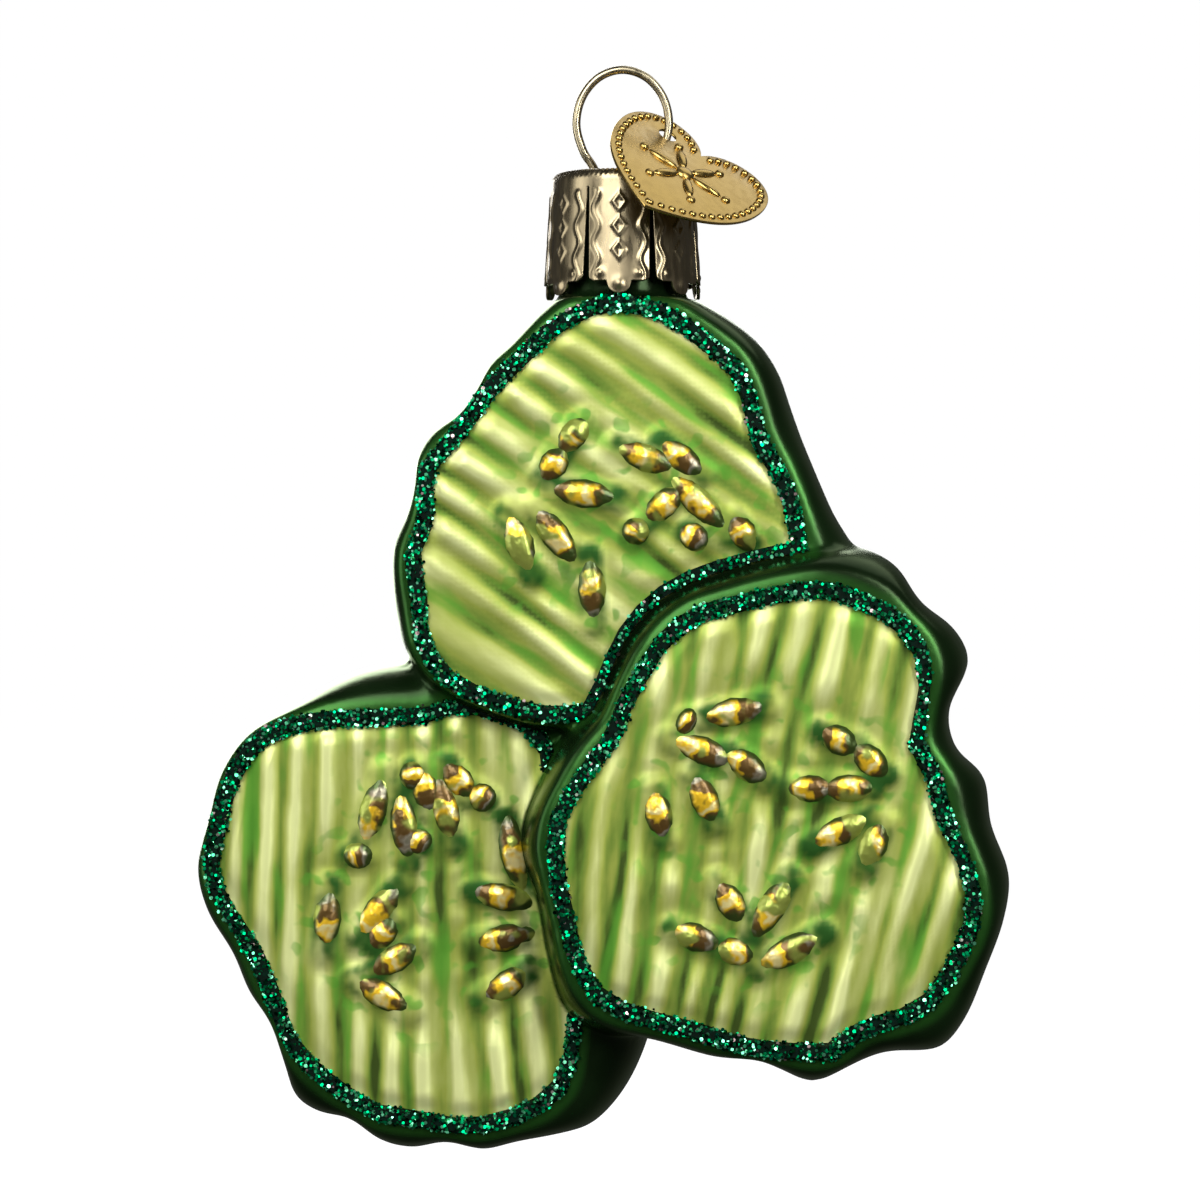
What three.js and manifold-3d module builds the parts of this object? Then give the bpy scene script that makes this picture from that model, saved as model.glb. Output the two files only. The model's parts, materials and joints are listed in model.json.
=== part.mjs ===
// Hanging glass ornament: three overlapping crinkle-cut pickle slices blown as one hollow glass,
// with glitter lines on its faces, a petal cap over its neck, a wire hanging loop and a heart tag.
// Millimetres, +Z up, front towards -Y. The origin is the inside top of the wire loop.
import * as THREE from "three";
import { mergeVertices } from "three/addons/utils/BufferGeometryUtils.js";
import Module from "manifold-3d";

const wasm = await Module();
wasm.setup();

// Clearances
const runningGap = 0.3; // between pieces that move against each other
const seatGap = 0.4; // under the lobes of the cap
const collarGap = 0.4; // between the neck and the cap round it
const glitterGap = 0.3; // between a glitter line and the relief or wall beside it

// Wire hanging loop
const wireDiameter = 0.75;
const loopHalfWidth = 4.1; // to the wire's centre
const loopWidestDrop = 4.4; // below the inside top of the loop
const flankHalfWidth = 3.55;
const flankDrop = 6.7;
const legHalfWidth = 2.3; // where the legs pass the crown
const legLength = 14.5; // of the splayed legs inside the neck
const loopAngles = [0, 30, 60, 90]; // degrees from the top, of the points of half a loop
const wireSteps = 52;
const flankSamples = 2000; // fine enough to find a height on the wire to 0.03 mm

// Cap
const crownDrop = 8.9; // from the inside top of the loop to the top of the crown
const capHeight = 11.0;
const capSheet = 0.35;
const petalFlare = 0.6; // how much wider the cap is at the petals' tips than at the crown
const shoulderRadius = 1.0;
const petalCount = 7;
const petalTurn = -3; // degrees, of the middle front petal
const lobeWidth = 1.9;
const lobeHeight = 1.1;
const petalCorner = 0.6;
const slitTopWidth = 0.2;
const slitBottomWidth = 0.65;
const slitTopDrop = 1.6; // below the top of the crown
const slitRun = 1.0; // how far the cutters run past the petals' tips
const petalFacets = 5; // of the turned shell, for each petal
const shoulderSteps = 3;

// Glass
const glassWall = 0.9;
const neckRadius = 5.55;
const neckWall = 0.8;
const neckLip = 0.3;
const neckRoot = 1.6; // how far the neck runs into the shoulder
const boreDepth = 5.6; // of the neck's bore below the shoulder, into the hollow
const sliceThickness = 19.5;
const sliceStep = 3.2; // each slice stands this far behind the one before it
const wallFullness = 0.7; // 1 is an elliptical wall, less is a fuller one
const outlineHalf = 27; // points in half a turn round a slice
const outlineSamples = 2000; // fine enough to find a reach to 0.03 mm
const wallRings = 4;
const hollowRings = 2;
const neckSegments = 32;

// Relief of the faces
const crinkleHeight = 1.0;
const crinkleSteps = 4; // facets in one wave
const reliefRoot = 0.35; // how far the relief is sunk into the face
const seedWidth = 1.5;
const seedRise = 1.45; // above the flat of the face
const seedSides = 5;
const seedCrown = 0.5; // share of the seed that its flat top takes

// Glitter lines
const glitterWidth = 1.5;
const glitterBesideWall = 1.0; // its width along the wall of a nearer slice
const glitterHeight = 0.6;
const glitterEdge = 0.1; // from the edge of the face
const glitterBevel = 0.25;

// Heart tag
const tagDrop = 5.5; // of the tag's hole below the inside top of the loop
const tagWidth = 15.0;
const tagDepth = 14.2; // from the notch to the tip
const tagLobeRise = 2.7; // of the lobes above the notch
const tagWidestDrop = 2.3; // of the widest line below the notch
const tagSheet = 0.3;
const tagHoleDiameter = 1.7;
const tagHolePlace = [-3.5, -0.2]; // from the notch
const tagRoll = -55; // degrees, the heart leans to the right in its plane
const tagSlope = 43; // degrees, its lower edge comes forward and down
const tagYaw = 40; // degrees, its left side comes forward
const tagBeadDiameter = 0.85;
const tagBeadPitch = 1.25;
const tagBeadInset = 0.75;
const tagBeadFacets = 5;
const tagBeadRings = 3;
const tagHeartSteps = 9; // facets in each quarter of the heart's outline
// Handles of the heart's curves, as shares of its half width and of its lobes' rise or its depth
const tagNotchHandle = [0.18, 1.4];
const tagLobeHandle = [1, 1.5];
const tagSideHandle = [1, 0.58];
const tagTipHandle = [0.56, 0.82];

// The three slices, from the front one back. Centres are [across, below the shoulder]. Outlines, faces and
// seeds are [across, up] from the centre, and seeds have their [length, angle] too. The outline is the widest
// line of the wall, and the face is the edge of the flat front face. The ridges run at ridgeAngle.
const rightSlice = {
  name: "right",
  centre: [11.7, 45.0],
  step: -1,
  ridgeAngle: 79,
  ridgePitch: 3.4,
  face: [
    [17.7, -2.5], [18.7, -5.4], [18.9, -8.4], [17.3, -12.6], [14.7, -16.3], [11.9, -17.7], [9, -18.5],
    [6.6, -20.4], [4, -20.6], [-1.4, -20.1], [-6.1, -18.7], [-10.2, -17.6], [-14.2, -15.8],
    [-16.4, -12.3], [-17.2, -9.2], [-18.2, -4.9], [-18.1, 0], [-16.6, 2.9], [-14.9, 5.4], [-13.3, 7.6],
    [-12.3, 10.3], [-10.8, 12.9], [-8.8, 15.9], [-5.9, 18.2], [-2.7, 19.1], [0.7, 19.9], [5.1, 20.5],
    [8.7, 19.5], [12, 17.8], [14, 15.5], [14.7, 12.8], [14.2, 8.8], [14.1, 6.3], [15.4, 4.7],
    [15.9, 2.5], [16.6, 0],
  ],
  outline: [
    [3.4, 23.1], [8.4, 23.5], [12.0, 21.9], [14.2, 18.7], [17.2, 16.3], [18.5, 13.6], [16.7, 9.3],
    [17.3, 6.0], [19.8, 3.4], [20.4, -0.7], [22.0, -5.2], [21.5, -8.8], [19.9, -13.2], [18.0, -17.8],
    [15.9, -20.2], [11.2, -20.5], [8.0, -21.6], [4.7, -23.1], [1.9, -21.9], [-0.2, -20.9],
    [-3.8, -20.8], [-9.7, -19.2], [-13.7, -18.7], [-16.7, -16.5], [-18.1, -12.0], [-19.1, -6.7],
    [-20.5, -2.9], [-20.2, -0.4], [-19.4, 1.8], [-18.3, 4.2], [-17.2, 6.4], [-15.9, 8.0],
    [-14.4, 9.2], [-13.4, 10.9], [-12.7, 12.9], [-11.4, 15.8], [-8.9, 18.6], [-5.2, 20.7],
  ],
  seeds: [
    [-2.4, 9.1, 4.3, 15], [-4.2, 5.5, 4.3, -30], [-1.3, 4.3, 3.0, -35], [-4.9, 1.7, 4.7, -65],
    [-8.6, 0.4, 3.8, -80], [6.6, 7.1, 2.1, -35], [9.1, 5.4, 3.4, -35], [4.8, 2.6, 3.0, 0],
    [7.9, 2.8, 2.6, 0], [6.6, -0.8, 4.4, 30], [9.6, -2.4, 3.8, 70], [-2.5, -7.5, 4.1, -65],
    [0.8, -7.7, 5.1, 60], [-5.4, -9.9, 3.4, -20], [-2.4, -11.8, 3.0, -20], [2.2, -11.9, 4.7, 30],
  ],
};
const topSlice = {
  name: "top",
  centre: [-1.4, 18.4],
  step: 0,
  ridgeAngle: -35,
  ridgePitch: 3.3,
  face: [
    [18.1, -5.9], [17.1, -9.1], [13.9, -12.5], [10, -14.8], [6, -16.4], [1.9, -17.6], [-1.9, -18.3],
    [-5.3, -18.5], [-10, -17.3], [-14.5, -15], [-16.5, -12], [-16.9, -8.2], [-17.5, -4], [-16.4, -1.1],
    [-16.5, 1.2], [-16.3, 3.5], [-14.5, 5.8], [-12.5, 8.4], [-10.2, 11.4], [-7.5, 14], [-4.2, 16.8],
    [0, 18.5], [4.5, 17.9], [8.8, 15.2], [11.9, 12.3], [13.2, 8.9], [13.9, 6.2], [15.6, 3.3], [16.8, 0],
    [17.3, -3.1],
  ],
  outline: [
    [-2.5, 20.0], [0.9, 20.6], [4.9, 20.0], [8.7, 18.1], [11.3, 16.5], [13.6, 14.5], [15.2, 12.0],
    [16.1, 9.4], [17.2, 6.3], [18.5, 3.1], [20.0, -0.3], [21.7, -3.4], [21.4, -6.3], [18.4, -9.3],
    [14.3, -12.9], [10.3, -15.3], [6.2, -16.9], [2.0, -18.1], [-2.0, -18.8], [-5.5, -19.0],
    [-10.2, -17.6], [-14.0, -15.9], [-16.6, -13.8], [-17.9, -11.8], [-18.7, -8.9], [-19.0, -5.6],
    [-18.8, -2.7], [-17.6, -0.3], [-16.6, 2.3], [-16.6, 4.8], [-15.4, 6.9], [-12.7, 8.3],
    [-11.3, 10.4], [-10.3, 12.9], [-8.6, 14.4], [-5.6, 17.7],
  ],
  seeds: [
    [-3.0, 6.4, 3.0, 50], [-4.6, 3.8, 2.2, 60], [-1.2, 1.2, 4.1, -10], [-7.9, -2.9, 4.7, -65],
    [-4.6, -2.3, 5.0, -55], [-1.4, -7.3, 4.1, -85], [3.2, 4.5, 4.0, -20], [6.6, 4.2, 3.2, -35],
    [8.5, 0.2, 4.4, -55], [5.0, 0.7, 3.2, 35], [2.6, -1.8, 1.7, 0], [7.0, -2.6, 2.2, 0],
    [11.1, -1.7, 2.6, 0],
  ],
};
const leftSlice = {
  name: "left",
  centre: [-20.0, 53.1],
  step: 1,
  ridgeAngle: 90,
  ridgePitch: 2.9,
  face: [
    [16.8, -4.8], [16.5, -9.6], [16.1, -13.5], [14.8, -16.4], [12.2, -18.2], [7.1, -19.6], [2, -19],
    [-1.3, -18.5], [-3.7, -17.2], [-6.7, -15.1], [-9.4, -12.1], [-10.7, -9], [-11.8, -6.3], [-13, -3.7],
    [-14.3, -1.5], [-15.8, 1.1], [-16.6, 3.5], [-15.7, 8.4], [-14.5, 12.1], [-12.1, 15.4], [-8.9, 16.8],
    [-4.4, 17.4], [-0.6, 17.5], [3.1, 17.7], [6.1, 18.5], [9.5, 17.8], [12.5, 16.5], [13.8, 14.8],
    [14.1, 12.3], [14.7, 9.5], [16, 5.8], [17, 0],
  ],
  outline: [
    [1.9, 21.4], [7.2, 20.6], [12.5, 18.9], [16.6, 16.9], [19.4, 12.6], [21.1, 7.4], [22.2, 2.0],
    [22.9, -3.5], [23.1, -8.0], [22.1, -12.7], [20.0, -16.9], [17.3, -19.6], [14.5, -20.4],
    [10.8, -21.0], [7.8, -21.7], [4.7, -20.9], [1.6, -21.6], [-1.3, -20.9], [-4.0, -18.9],
    [-6.7, -18.5], [-8.9, -17.1], [-9.8, -14.1], [-10.8, -10.5], [-13.0, -7.6], [-14.4, -4.2],
    [-16.7, -0.4], [-17.4, 3.4], [-16.2, 7.9], [-15.3, 11.6], [-13.1, 14.9], [-8.8, 17.7], [-5.2, 19.9],
    [-2.1, 21.0],
  ],
  seeds: [
    [-5.7, -0.8, 4.8, 90], [-1.9, 0.3, 3.9, 50], [0.3, -1.8, 3.9, 55], [-0.1, -4.5, 4.3, 30],
    [-0.4, -7.2, 4.4, -25], [-1.4, 8.6, 4.6, 72], [1.3, 6.6, 4.4, -80], [1.3, 12.0, 1.7, 0],
    [4.0, 9.1, 4.8, -65], [6.0, 11.9, 3.2, -45], [7.9, 9.4, 1.6, 0], [-3.6, 4.9, 1.7, 0],
    [9.9, 5.0, 4.6, -75], [8.6, 0.8, 2.6, 0], [9.3, -2.2, 3.9, 10], [9.7, -6.4, 3.9, 40],
  ],
};
const slices = [rightSlice, topSlice, leftSlice];

// Heights that follow from the sizes above
const crownTop = -crownDrop;
const crownUnderside = crownTop - capSheet;
const lobeTip = crownTop - capHeight;
const shoulderZ = lobeTip - seatGap;
const neckTop = crownUnderside - runningGap;
const boreRadius = neckRadius - neckWall;
const crownRadius = neckRadius + collarGap + capSheet;
const skirtRadius = crownRadius + petalFlare;
const wireRadius = wireDiameter / 2;

const radians = THREE.MathUtils.degToRad;
const up = new THREE.Vector3(0, 0, 1);

// Materials
const paint = {
  glass: new THREE.MeshStandardMaterial({ color: 0x8fae3c, roughness: 0.22, metalness: 0.35 }),
  glitter: new THREE.MeshStandardMaterial({ color: 0x067a48, roughness: 0.35, metalness: 0.6 }),
  cap: new THREE.MeshStandardMaterial({ color: 0xa8966f, roughness: 0.28, metalness: 1.0 }),
  wire: new THREE.MeshStandardMaterial({ color: 0xc9b27c, roughness: 0.25, metalness: 1.0 }),
  tag: new THREE.MeshStandardMaterial({ color: 0xc79e4d, roughness: 0.3, metalness: 1.0 }),
};

function solid(geometry) {
  const bare = geometry.clone();
  bare.deleteAttribute("normal");
  bare.deleteAttribute("uv");
  const merged = mergeVertices(bare, 1e-4);
  return new wasm.Manifold(
    new wasm.Mesh({
      numProp: 3,
      vertProperties: new Float32Array(merged.attributes.position.array),
      triVerts: new Uint32Array(merged.index.array),
    }),
  );
}

function geometryOf(body) {
  const mesh = body.getMesh();
  const geometry = new THREE.BufferGeometry();
  geometry.setAttribute("position", new THREE.BufferAttribute(mesh.vertProperties, 3));
  geometry.setIndex(new THREE.BufferAttribute(mesh.triVerts, 1));
  geometry.computeVertexNormals();
  return geometry;
}

function node(name, geometry, material) {
  const mesh = new THREE.Mesh(geometry, material);
  mesh.name = name;
  return mesh;
}

// A closed skin over rings of equal point count, capped at both ends from each ring's middle.
function loft(rings, middles) {
  const count = rings[0].length;
  const points = rings.flat();
  const faces = [];
  for (let ring = 0; ring + 1 < rings.length; ring += 1) {
    for (let i = 0; i < count; i += 1) {
      const next = (i + 1) % count;
      const a = ring * count + i;
      const b = ring * count + next;
      faces.push(a, b, a + count, b, b + count, a + count);
    }
  }
  const last = (rings.length - 1) * count;
  const first = points.push(middles[0]) - 1;
  const final = points.push(middles[1]) - 1;
  for (let i = 0; i < count; i += 1) {
    const next = (i + 1) % count;
    faces.push(first, next, i, final, last + i, last + next);
  }
  return new THREE.BufferGeometry().setFromPoints(points).setIndex(faces);
}

// A profile of [radius, height] points that closes on itself, turned about the Z axis.
function turned(profile, segments) {
  const points = profile.map(([radius, z]) => new THREE.Vector2(radius, z));
  points.push(points[0].clone());
  return new THREE.LatheGeometry(points, segments).rotateX(Math.PI / 2);
}

const turns = Array.from({ length: 2 * outlineHalf }, (_, i) => (-Math.PI * i) / outlineHalf);

// How far a smooth closed curve through points lies from their origin, at each of the turns.
function reachesOf(points) {
  const knots = points.map(([u, v]) => new THREE.Vector3(u, 0, v));
  const samples = new THREE.CatmullRomCurve3(knots, true).getPoints(outlineSamples);
  return turns.map((turn) => {
    const off = (sample) => 1 - Math.cos(Math.atan2(sample.z, sample.x) - turn);
    return samples.reduce((best, sample) => (off(sample) < off(best) ? sample : best)).length();
  });
}

for (const slice of slices) {
  slice.reaches = reachesOf(slice.outline);
  slice.faceReaches = reachesOf(slice.face);
}

const middleOf = (slice) => slice.step * sliceStep;
const centreOf = (slice) => new THREE.Vector3(slice.centre[0], 0, shoulderZ - slice.centre[1]);
const reachOf = (slice) => Math.max(...slice.outline.map(([u, v]) => Math.hypot(u, v)));

// How full a slice's wall is at a given depth, from 0 at its faces to 1 at its widest line.
function fullness(slice, y) {
  const lean = (middleOf(slice) - y) / (sliceThickness / 2);
  return Math.sqrt(1 - Math.min(1, lean * lean)) ** wallFullness;
}

// Layers [depth, fullness, inset] of a slice, as one closed body. The depth is y, the fullness leads from the
// face's edge out to the widest line, and the inset draws the layer in. The back face leans the other way.
function layered(slice, layers) {
  const centre = centreOf(slice);
  const rings = layers.map(([y, full, inset]) =>
    turns.map((turn, i) => {
      const from = y > middleOf(slice) ? (i + outlineHalf) % turns.length : i;
      const rounding = (slice.reaches[from] - slice.faceReaches[from]) * (1 - full);
      const reach = slice.reaches[i] - rounding - inset;
      return new THREE.Vector3(centre.x + reach * Math.cos(turn), y, centre.z + reach * Math.sin(turn));
    }),
  );
  const middles = [layers[0], layers.at(-1)].map(([y]) => new THREE.Vector3(centre.x, y, centre.z));
  return solid(loft(rings, middles));
}

// The blown body of a slice, or with a wall thickness the hollow inside it, flat under the neck.
function puck(slice, wall) {
  const halfDepth = sliceThickness / 2 - wall;
  const rings = wall > 0 ? hollowRings : wallRings;
  const layers = [];
  for (let ring = 0; ring <= rings; ring += 1) {
    const turn = (Math.PI * ring) / rings;
    const full = ring % rings ? Math.sin(turn) ** wallFullness : 0;
    layers.push([middleOf(slice) - halfDepth * Math.cos(turn), full, wall]);
  }
  const reach = reachOf(slice);
  const above = new THREE.BoxGeometry(2 * reach, 2 * reach, 2 * reach);
  above.translate(centreOf(slice).x, 0, shoulderZ - wall + reach);
  return layered(slice, layers).subtract(solid(above));
}

// The y of a slice's face on the front (side -1) or the back (side 1).
const faceOf = (slice, side) => middleOf(slice) + (side * sliceThickness) / 2;

// Slices that stand in front of this one, seen from that side.
const nearerThan = (slice, side) => slices.filter((other) => (other.step - slice.step) * side > 0);

// Turns a shape's x, y and z to along, outwards and across on a face, at a place on that face.
function placeOnFace(geometry, slice, side, u, v, angle) {
  const along = new THREE.Vector3(Math.cos(radians(angle)), 0, Math.sin(radians(angle)));
  const out = new THREE.Vector3(0, side, 0);
  const across = along.clone().cross(out);
  const middle = centreOf(slice);
  const matrix = new THREE.Matrix4().makeBasis(along, out, across);
  matrix.setPosition(middle.x + u, faceOf(slice, side), middle.z + v);
  return geometry.applyMatrix4(matrix);
}

// The waves of a crinkle cut, within the glitter line.
function crinkle(slice, side) {
  const span = 2 * reachOf(slice);
  const waves = Math.ceil(span / slice.ridgePitch / 2) * 2;
  const half = (waves * slice.ridgePitch) / 2;
  const shape = new THREE.Shape();
  shape.moveTo(half, -reliefRoot);
  for (let i = 0; i <= waves * crinkleSteps; i += 1) {
    const wave = (1 + Math.cos((2 * Math.PI * i) / crinkleSteps)) / 2;
    shape.lineTo(half - (i * slice.ridgePitch) / crinkleSteps, crinkleHeight * wave);
  }
  shape.lineTo(-half, -reliefRoot);
  const sheet = new THREE.ExtrudeGeometry(shape, { depth: span, bevelEnabled: false, steps: 1 });
  sheet.translate(0, 0, -span / 2);
  const waved = solid(placeOnFace(sheet, slice, side, 0, 0, slice.ridgeAngle - 90));
  const face = faceOf(slice, side);
  const inset = glitterEdge + glitterWidth + glitterGap;
  const depths = [face - 2 * reliefRoot, face + 2 * crinkleHeight];
  if (side < 0) {
    depths[0] = face - 2 * crinkleHeight;
    depths[1] = face + 2 * reliefRoot;
  }
  const field = layered(slice, depths.map((y) => [y, 0, inset]));
  const nearer = nearerThan(slice, side);
  if (nearer.length !== 1) {
    return waved.intersect(field);
  }
  const beside = -2 * glitterGap - glitterBesideWall;
  const wall = layered(nearer[0], depths.map((y) => [y, fullness(nearer[0], face), beside]));
  return waved.intersect(field.subtract(wall));
}

function seeds(slice, side) {
  return slice.seeds.map(([u, v, length, angle]) => {
    const seed = new THREE.CylinderGeometry(seedCrown, 1, 1, seedSides);
    seed.translate(0, 0.5, 0);
    seed.scale(length / 2, seedRise + reliefRoot, seedWidth / 2);
    seed.translate(0, -reliefRoot, 0);
    return solid(placeOnFace(seed, slice, side, u, v, angle));
  });
}

function glassBody() {
  const neck = solid(
    turned(
      [
        [boreRadius, shoulderZ - neckRoot],
        [neckRadius, shoulderZ - neckRoot],
        [neckRadius, neckTop - neckLip],
        [neckRadius - neckLip, neckTop],
        [boreRadius + neckLip / 2, neckTop],
        [boreRadius, neckTop - neckLip],
      ],
      neckSegments,
    ),
  );
  const boreTop = shoulderZ + neckRoot / 2;
  const boreLength = boreDepth + neckRoot / 2;
  const bore = new THREE.CylinderGeometry(boreRadius, boreRadius, boreLength, neckSegments);
  bore.rotateX(Math.PI / 2).translate(0, 0, boreTop - boreLength / 2);
  let outside = puck(rightSlice, 0).add(puck(topSlice, 0)).add(puck(leftSlice, 0));
  for (const slice of slices) {
    for (const side of [-1, 1]) {
      outside = outside.add(crinkle(slice, side));
      for (const seed of seeds(slice, side)) {
        outside = outside.add(seed);
      }
    }
  }
  const hollow = puck(rightSlice, glassWall)
    .add(puck(topSlice, glassWall))
    .add(puck(leftSlice, glassWall))
    .add(solid(bore));
  return outside.subtract(hollow).add(neck);
}

// A glitter line on one face. Where one slice stands in front of the face, the line closes along that slice's
// wall; where both do, it is an open strip that ends at their walls.
function glitterLine(slice, side) {
  const face = faceOf(slice, side);
  const layers = (full, edge, bevel, lift) => {
    const slant = (bevel * lift) / glitterHeight;
    const stack = [
      [face - side * lift, full, edge - slant],
      [face + side * (glitterHeight + lift), full, edge + bevel + slant],
    ];
    return side < 0 ? stack.reverse() : stack;
  };
  const field = layered(slice, layers(0, glitterEdge, glitterBevel, 0));
  const opening = layered(slice, layers(0, glitterEdge + glitterWidth, -glitterBevel, glitterHeight));
  const nearer = nearerThan(slice, side);
  const beside = (other, edge, lift) => layered(other, layers(fullness(other, face), edge, 0, lift));
  const walls = nearer.map((other) => beside(other, -glitterGap, glitterHeight));
  if (walls.length === 1) {
    const closing = beside(nearer[0], -glitterGap - glitterBesideWall, 2 * glitterHeight);
    return field.subtract(walls[0]).subtract(opening.subtract(closing));
  }
  const pieces = walls.reduce((line, wall) => line.subtract(wall), field.subtract(opening)).decompose();
  return pieces.sort((a, b) => b.volume() - a.volume())[0];
}

function cap() {
  const outer = [];
  const inner = [];
  for (let i = 0; i <= shoulderSteps; i += 1) {
    const turn = ((Math.PI / 2) * i) / shoulderSteps;
    const across = crownRadius - shoulderRadius;
    const down = crownTop - shoulderRadius;
    const bend = shoulderRadius - capSheet;
    outer.push([across + shoulderRadius * Math.sin(turn), down + shoulderRadius * Math.cos(turn)]);
    inner.unshift([across + bend * Math.sin(turn), down + bend * Math.cos(turn)]);
  }
  const holeRadius = legHalfWidth + wireDiameter + runningGap; // the wire crosses the crown at a slant
  const shell = turned(
    [
      [holeRadius, crownUnderside],
      [holeRadius, crownTop],
      ...outer,
      [skirtRadius, lobeTip],
      [skirtRadius - capSheet, lobeTip],
      ...inner,
    ].reverse(),
    petalFacets * petalCount,
  );
  const spread = Math.PI / petalCount;
  const lobeEdge = skirtRadius * spread - lobeWidth / 2;
  const petalEnd = lobeTip + lobeHeight;
  const cutterEnd = lobeTip - slitRun;
  const slit = new THREE.Shape();
  slit.moveTo(-lobeEdge - petalCorner, cutterEnd);
  slit.lineTo(lobeEdge + petalCorner, cutterEnd);
  slit.lineTo(lobeEdge + petalCorner / 2, lobeTip + lobeHeight / 4);
  slit.quadraticCurveTo(lobeEdge, petalEnd, lobeEdge - petalCorner, petalEnd);
  slit.lineTo(slitBottomWidth / 2 + petalCorner, petalEnd);
  slit.quadraticCurveTo(slitBottomWidth / 2, petalEnd, slitBottomWidth / 2, petalEnd + petalCorner);
  slit.lineTo(slitTopWidth / 2, crownTop - slitTopDrop);
  slit.lineTo(-slitTopWidth / 2, crownTop - slitTopDrop);
  slit.lineTo(-slitBottomWidth / 2, petalEnd + petalCorner);
  slit.quadraticCurveTo(-slitBottomWidth / 2, petalEnd, -slitBottomWidth / 2 - petalCorner, petalEnd);
  slit.lineTo(petalCorner - lobeEdge, petalEnd);
  slit.quadraticCurveTo(-lobeEdge, petalEnd, -lobeEdge - petalCorner / 2, lobeTip + lobeHeight / 4);
  let body = solid(shell);
  for (let i = 0; i < petalCount; i += 1) {
    const depth = skirtRadius;
    const cutter = new THREE.ExtrudeGeometry(slit, { depth, bevelEnabled: false, curveSegments: 2 });
    cutter.translate(0, 0, neckRadius / 2).rotateX(Math.PI / 2);
    cutter.rotateZ(radians(petalTurn) + spread * (2 * i + 1));
    body = body.subtract(solid(cutter));
  }
  return body;
}

// The wire's centre line: one leg, round the loop, and down the other leg.
function wirePath() {
  const legEnd = boreRadius - wireRadius - runningGap;
  const right = loopAngles.map((angle) => [
    loopHalfWidth * Math.sin(radians(angle)),
    (loopWidestDrop + wireRadius) * Math.cos(radians(angle)) - loopWidestDrop,
  ]);
  right.push([flankHalfWidth, -flankDrop]);
  right.push([legHalfWidth, crownTop - capSheet / 2]);
  right.push([(legHalfWidth + legEnd) / 2, crownTop - legLength / 2]);
  right.push([legEnd, crownTop - legLength]);
  const left = right.slice(1).map(([x, z]) => [-x, z]);
  const points = [...left.reverse(), ...right].map(([x, z]) => new THREE.Vector3(x, 0, z));
  return new THREE.CatmullRomCurve3(points, false, "centripetal");
}

function wireLoop() {
  const section = new THREE.Shape();
  section.absarc(0, 0, wireRadius, 0, 2 * Math.PI);
  const options = { steps: wireSteps, extrudePath: wirePath(), curveSegments: 4, bevelEnabled: false };
  return new THREE.ExtrudeGeometry(section, options);
}

// Where the tag's hole sits on the right flank of the wire.
function tagPivot() {
  const samples = wirePath().getSpacedPoints(flankSamples);
  const flank = samples.filter((point) => point.x > 0 && point.z > crownTop);
  const nearest = (a, b) => Math.abs(a.z + tagDrop) - Math.abs(b.z + tagDrop);
  return flank.sort(nearest)[0];
}

function heartShape() {
  const half = tagWidth / 2;
  const handle = ([across, rise], height) => [half * across, height * rise];
  const notch = handle(tagNotchHandle, tagLobeRise);
  const lobe = handle(tagLobeHandle, tagLobeRise);
  const side = handle(tagSideHandle, -tagDepth);
  const tip = handle(tagTipHandle, -tagDepth);
  const heart = new THREE.Shape();
  heart.moveTo(0, 0);
  heart.bezierCurveTo(notch[0], notch[1], lobe[0], lobe[1], half, -tagWidestDrop);
  heart.bezierCurveTo(side[0], side[1], tip[0], tip[1], 0, -tagDepth);
  heart.bezierCurveTo(-tip[0], tip[1], -side[0], side[1], -half, -tagWidestDrop);
  heart.bezierCurveTo(-lobe[0], lobe[1], -notch[0], notch[1], 0, 0);
  return heart;
}

function heartTag() {
  const heart = heartShape();
  const rim = new THREE.CatmullRomCurve3(
    heart.getSpacedPoints(4 * tagHeartSteps).map((point) => new THREE.Vector3(point.x, point.y, 0)),
  );
  const hole = new THREE.Path();
  hole.absarc(tagHolePlace[0], tagHolePlace[1], tagHoleDiameter / 2, 0, 2 * Math.PI);
  heart.holes.push(hole);
  const options = { depth: tagSheet, bevelEnabled: false, curveSegments: tagHeartSteps };
  let body = solid(new THREE.ExtrudeGeometry(heart, options).translate(0, 0, -tagSheet / 2));
  const count = Math.round(rim.getLength() / tagBeadPitch);
  for (let i = 0; i < count; i += 1) {
    const share = (i + 0.5) / count;
    const inwards = rim.getTangentAt(share).cross(up);
    const place = rim.getPointAt(share).addScaledVector(inwards, tagBeadInset);
    const bead = new THREE.SphereGeometry(tagBeadDiameter / 2, tagBeadFacets, tagBeadRings);
    bead.rotateX(Math.PI / 2).translate(place.x, place.y, tagSheet / 4);
    body = body.add(solid(bead));
  }
  return body;
}

const ornament = new THREE.Group();
ornament.add(node("glass_body", geometryOf(glassBody()), paint.glass));
for (const slice of slices) {
  for (const side of [-1, 1]) {
    const name = `glitter_line_${side < 0 ? "front" : "back"}_${slice.name}`;
    ornament.add(node(name, geometryOf(glitterLine(slice, side)), paint.glitter));
  }
}
ornament.add(node("cap", geometryOf(cap()), paint.cap));
ornament.add(node("wire_loop", wireLoop(), paint.wire));

const tag = node("heart_tag", geometryOf(heartTag()), paint.tag);
tag.position.set(-tagHolePlace[0], -tagHolePlace[1], 0);
const rolled = new THREE.Group();
rolled.rotation.z = radians(tagRoll);
rolled.add(tag);
const sloped = new THREE.Group();
sloped.rotation.set(radians(tagSlope), 0, radians(tagYaw), "ZXY");
sloped.position.copy(tagPivot());
sloped.add(rolled);
ornament.add(sloped);

export default ornament;
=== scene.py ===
"""Hollow blown-glass ornament of three crinkle-cut pickle slices, with glitter lines, a petal cap,
a wire hanging loop and a heart tag. Metres, +Z up, front towards -Y."""

import json
import math
import random

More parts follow.
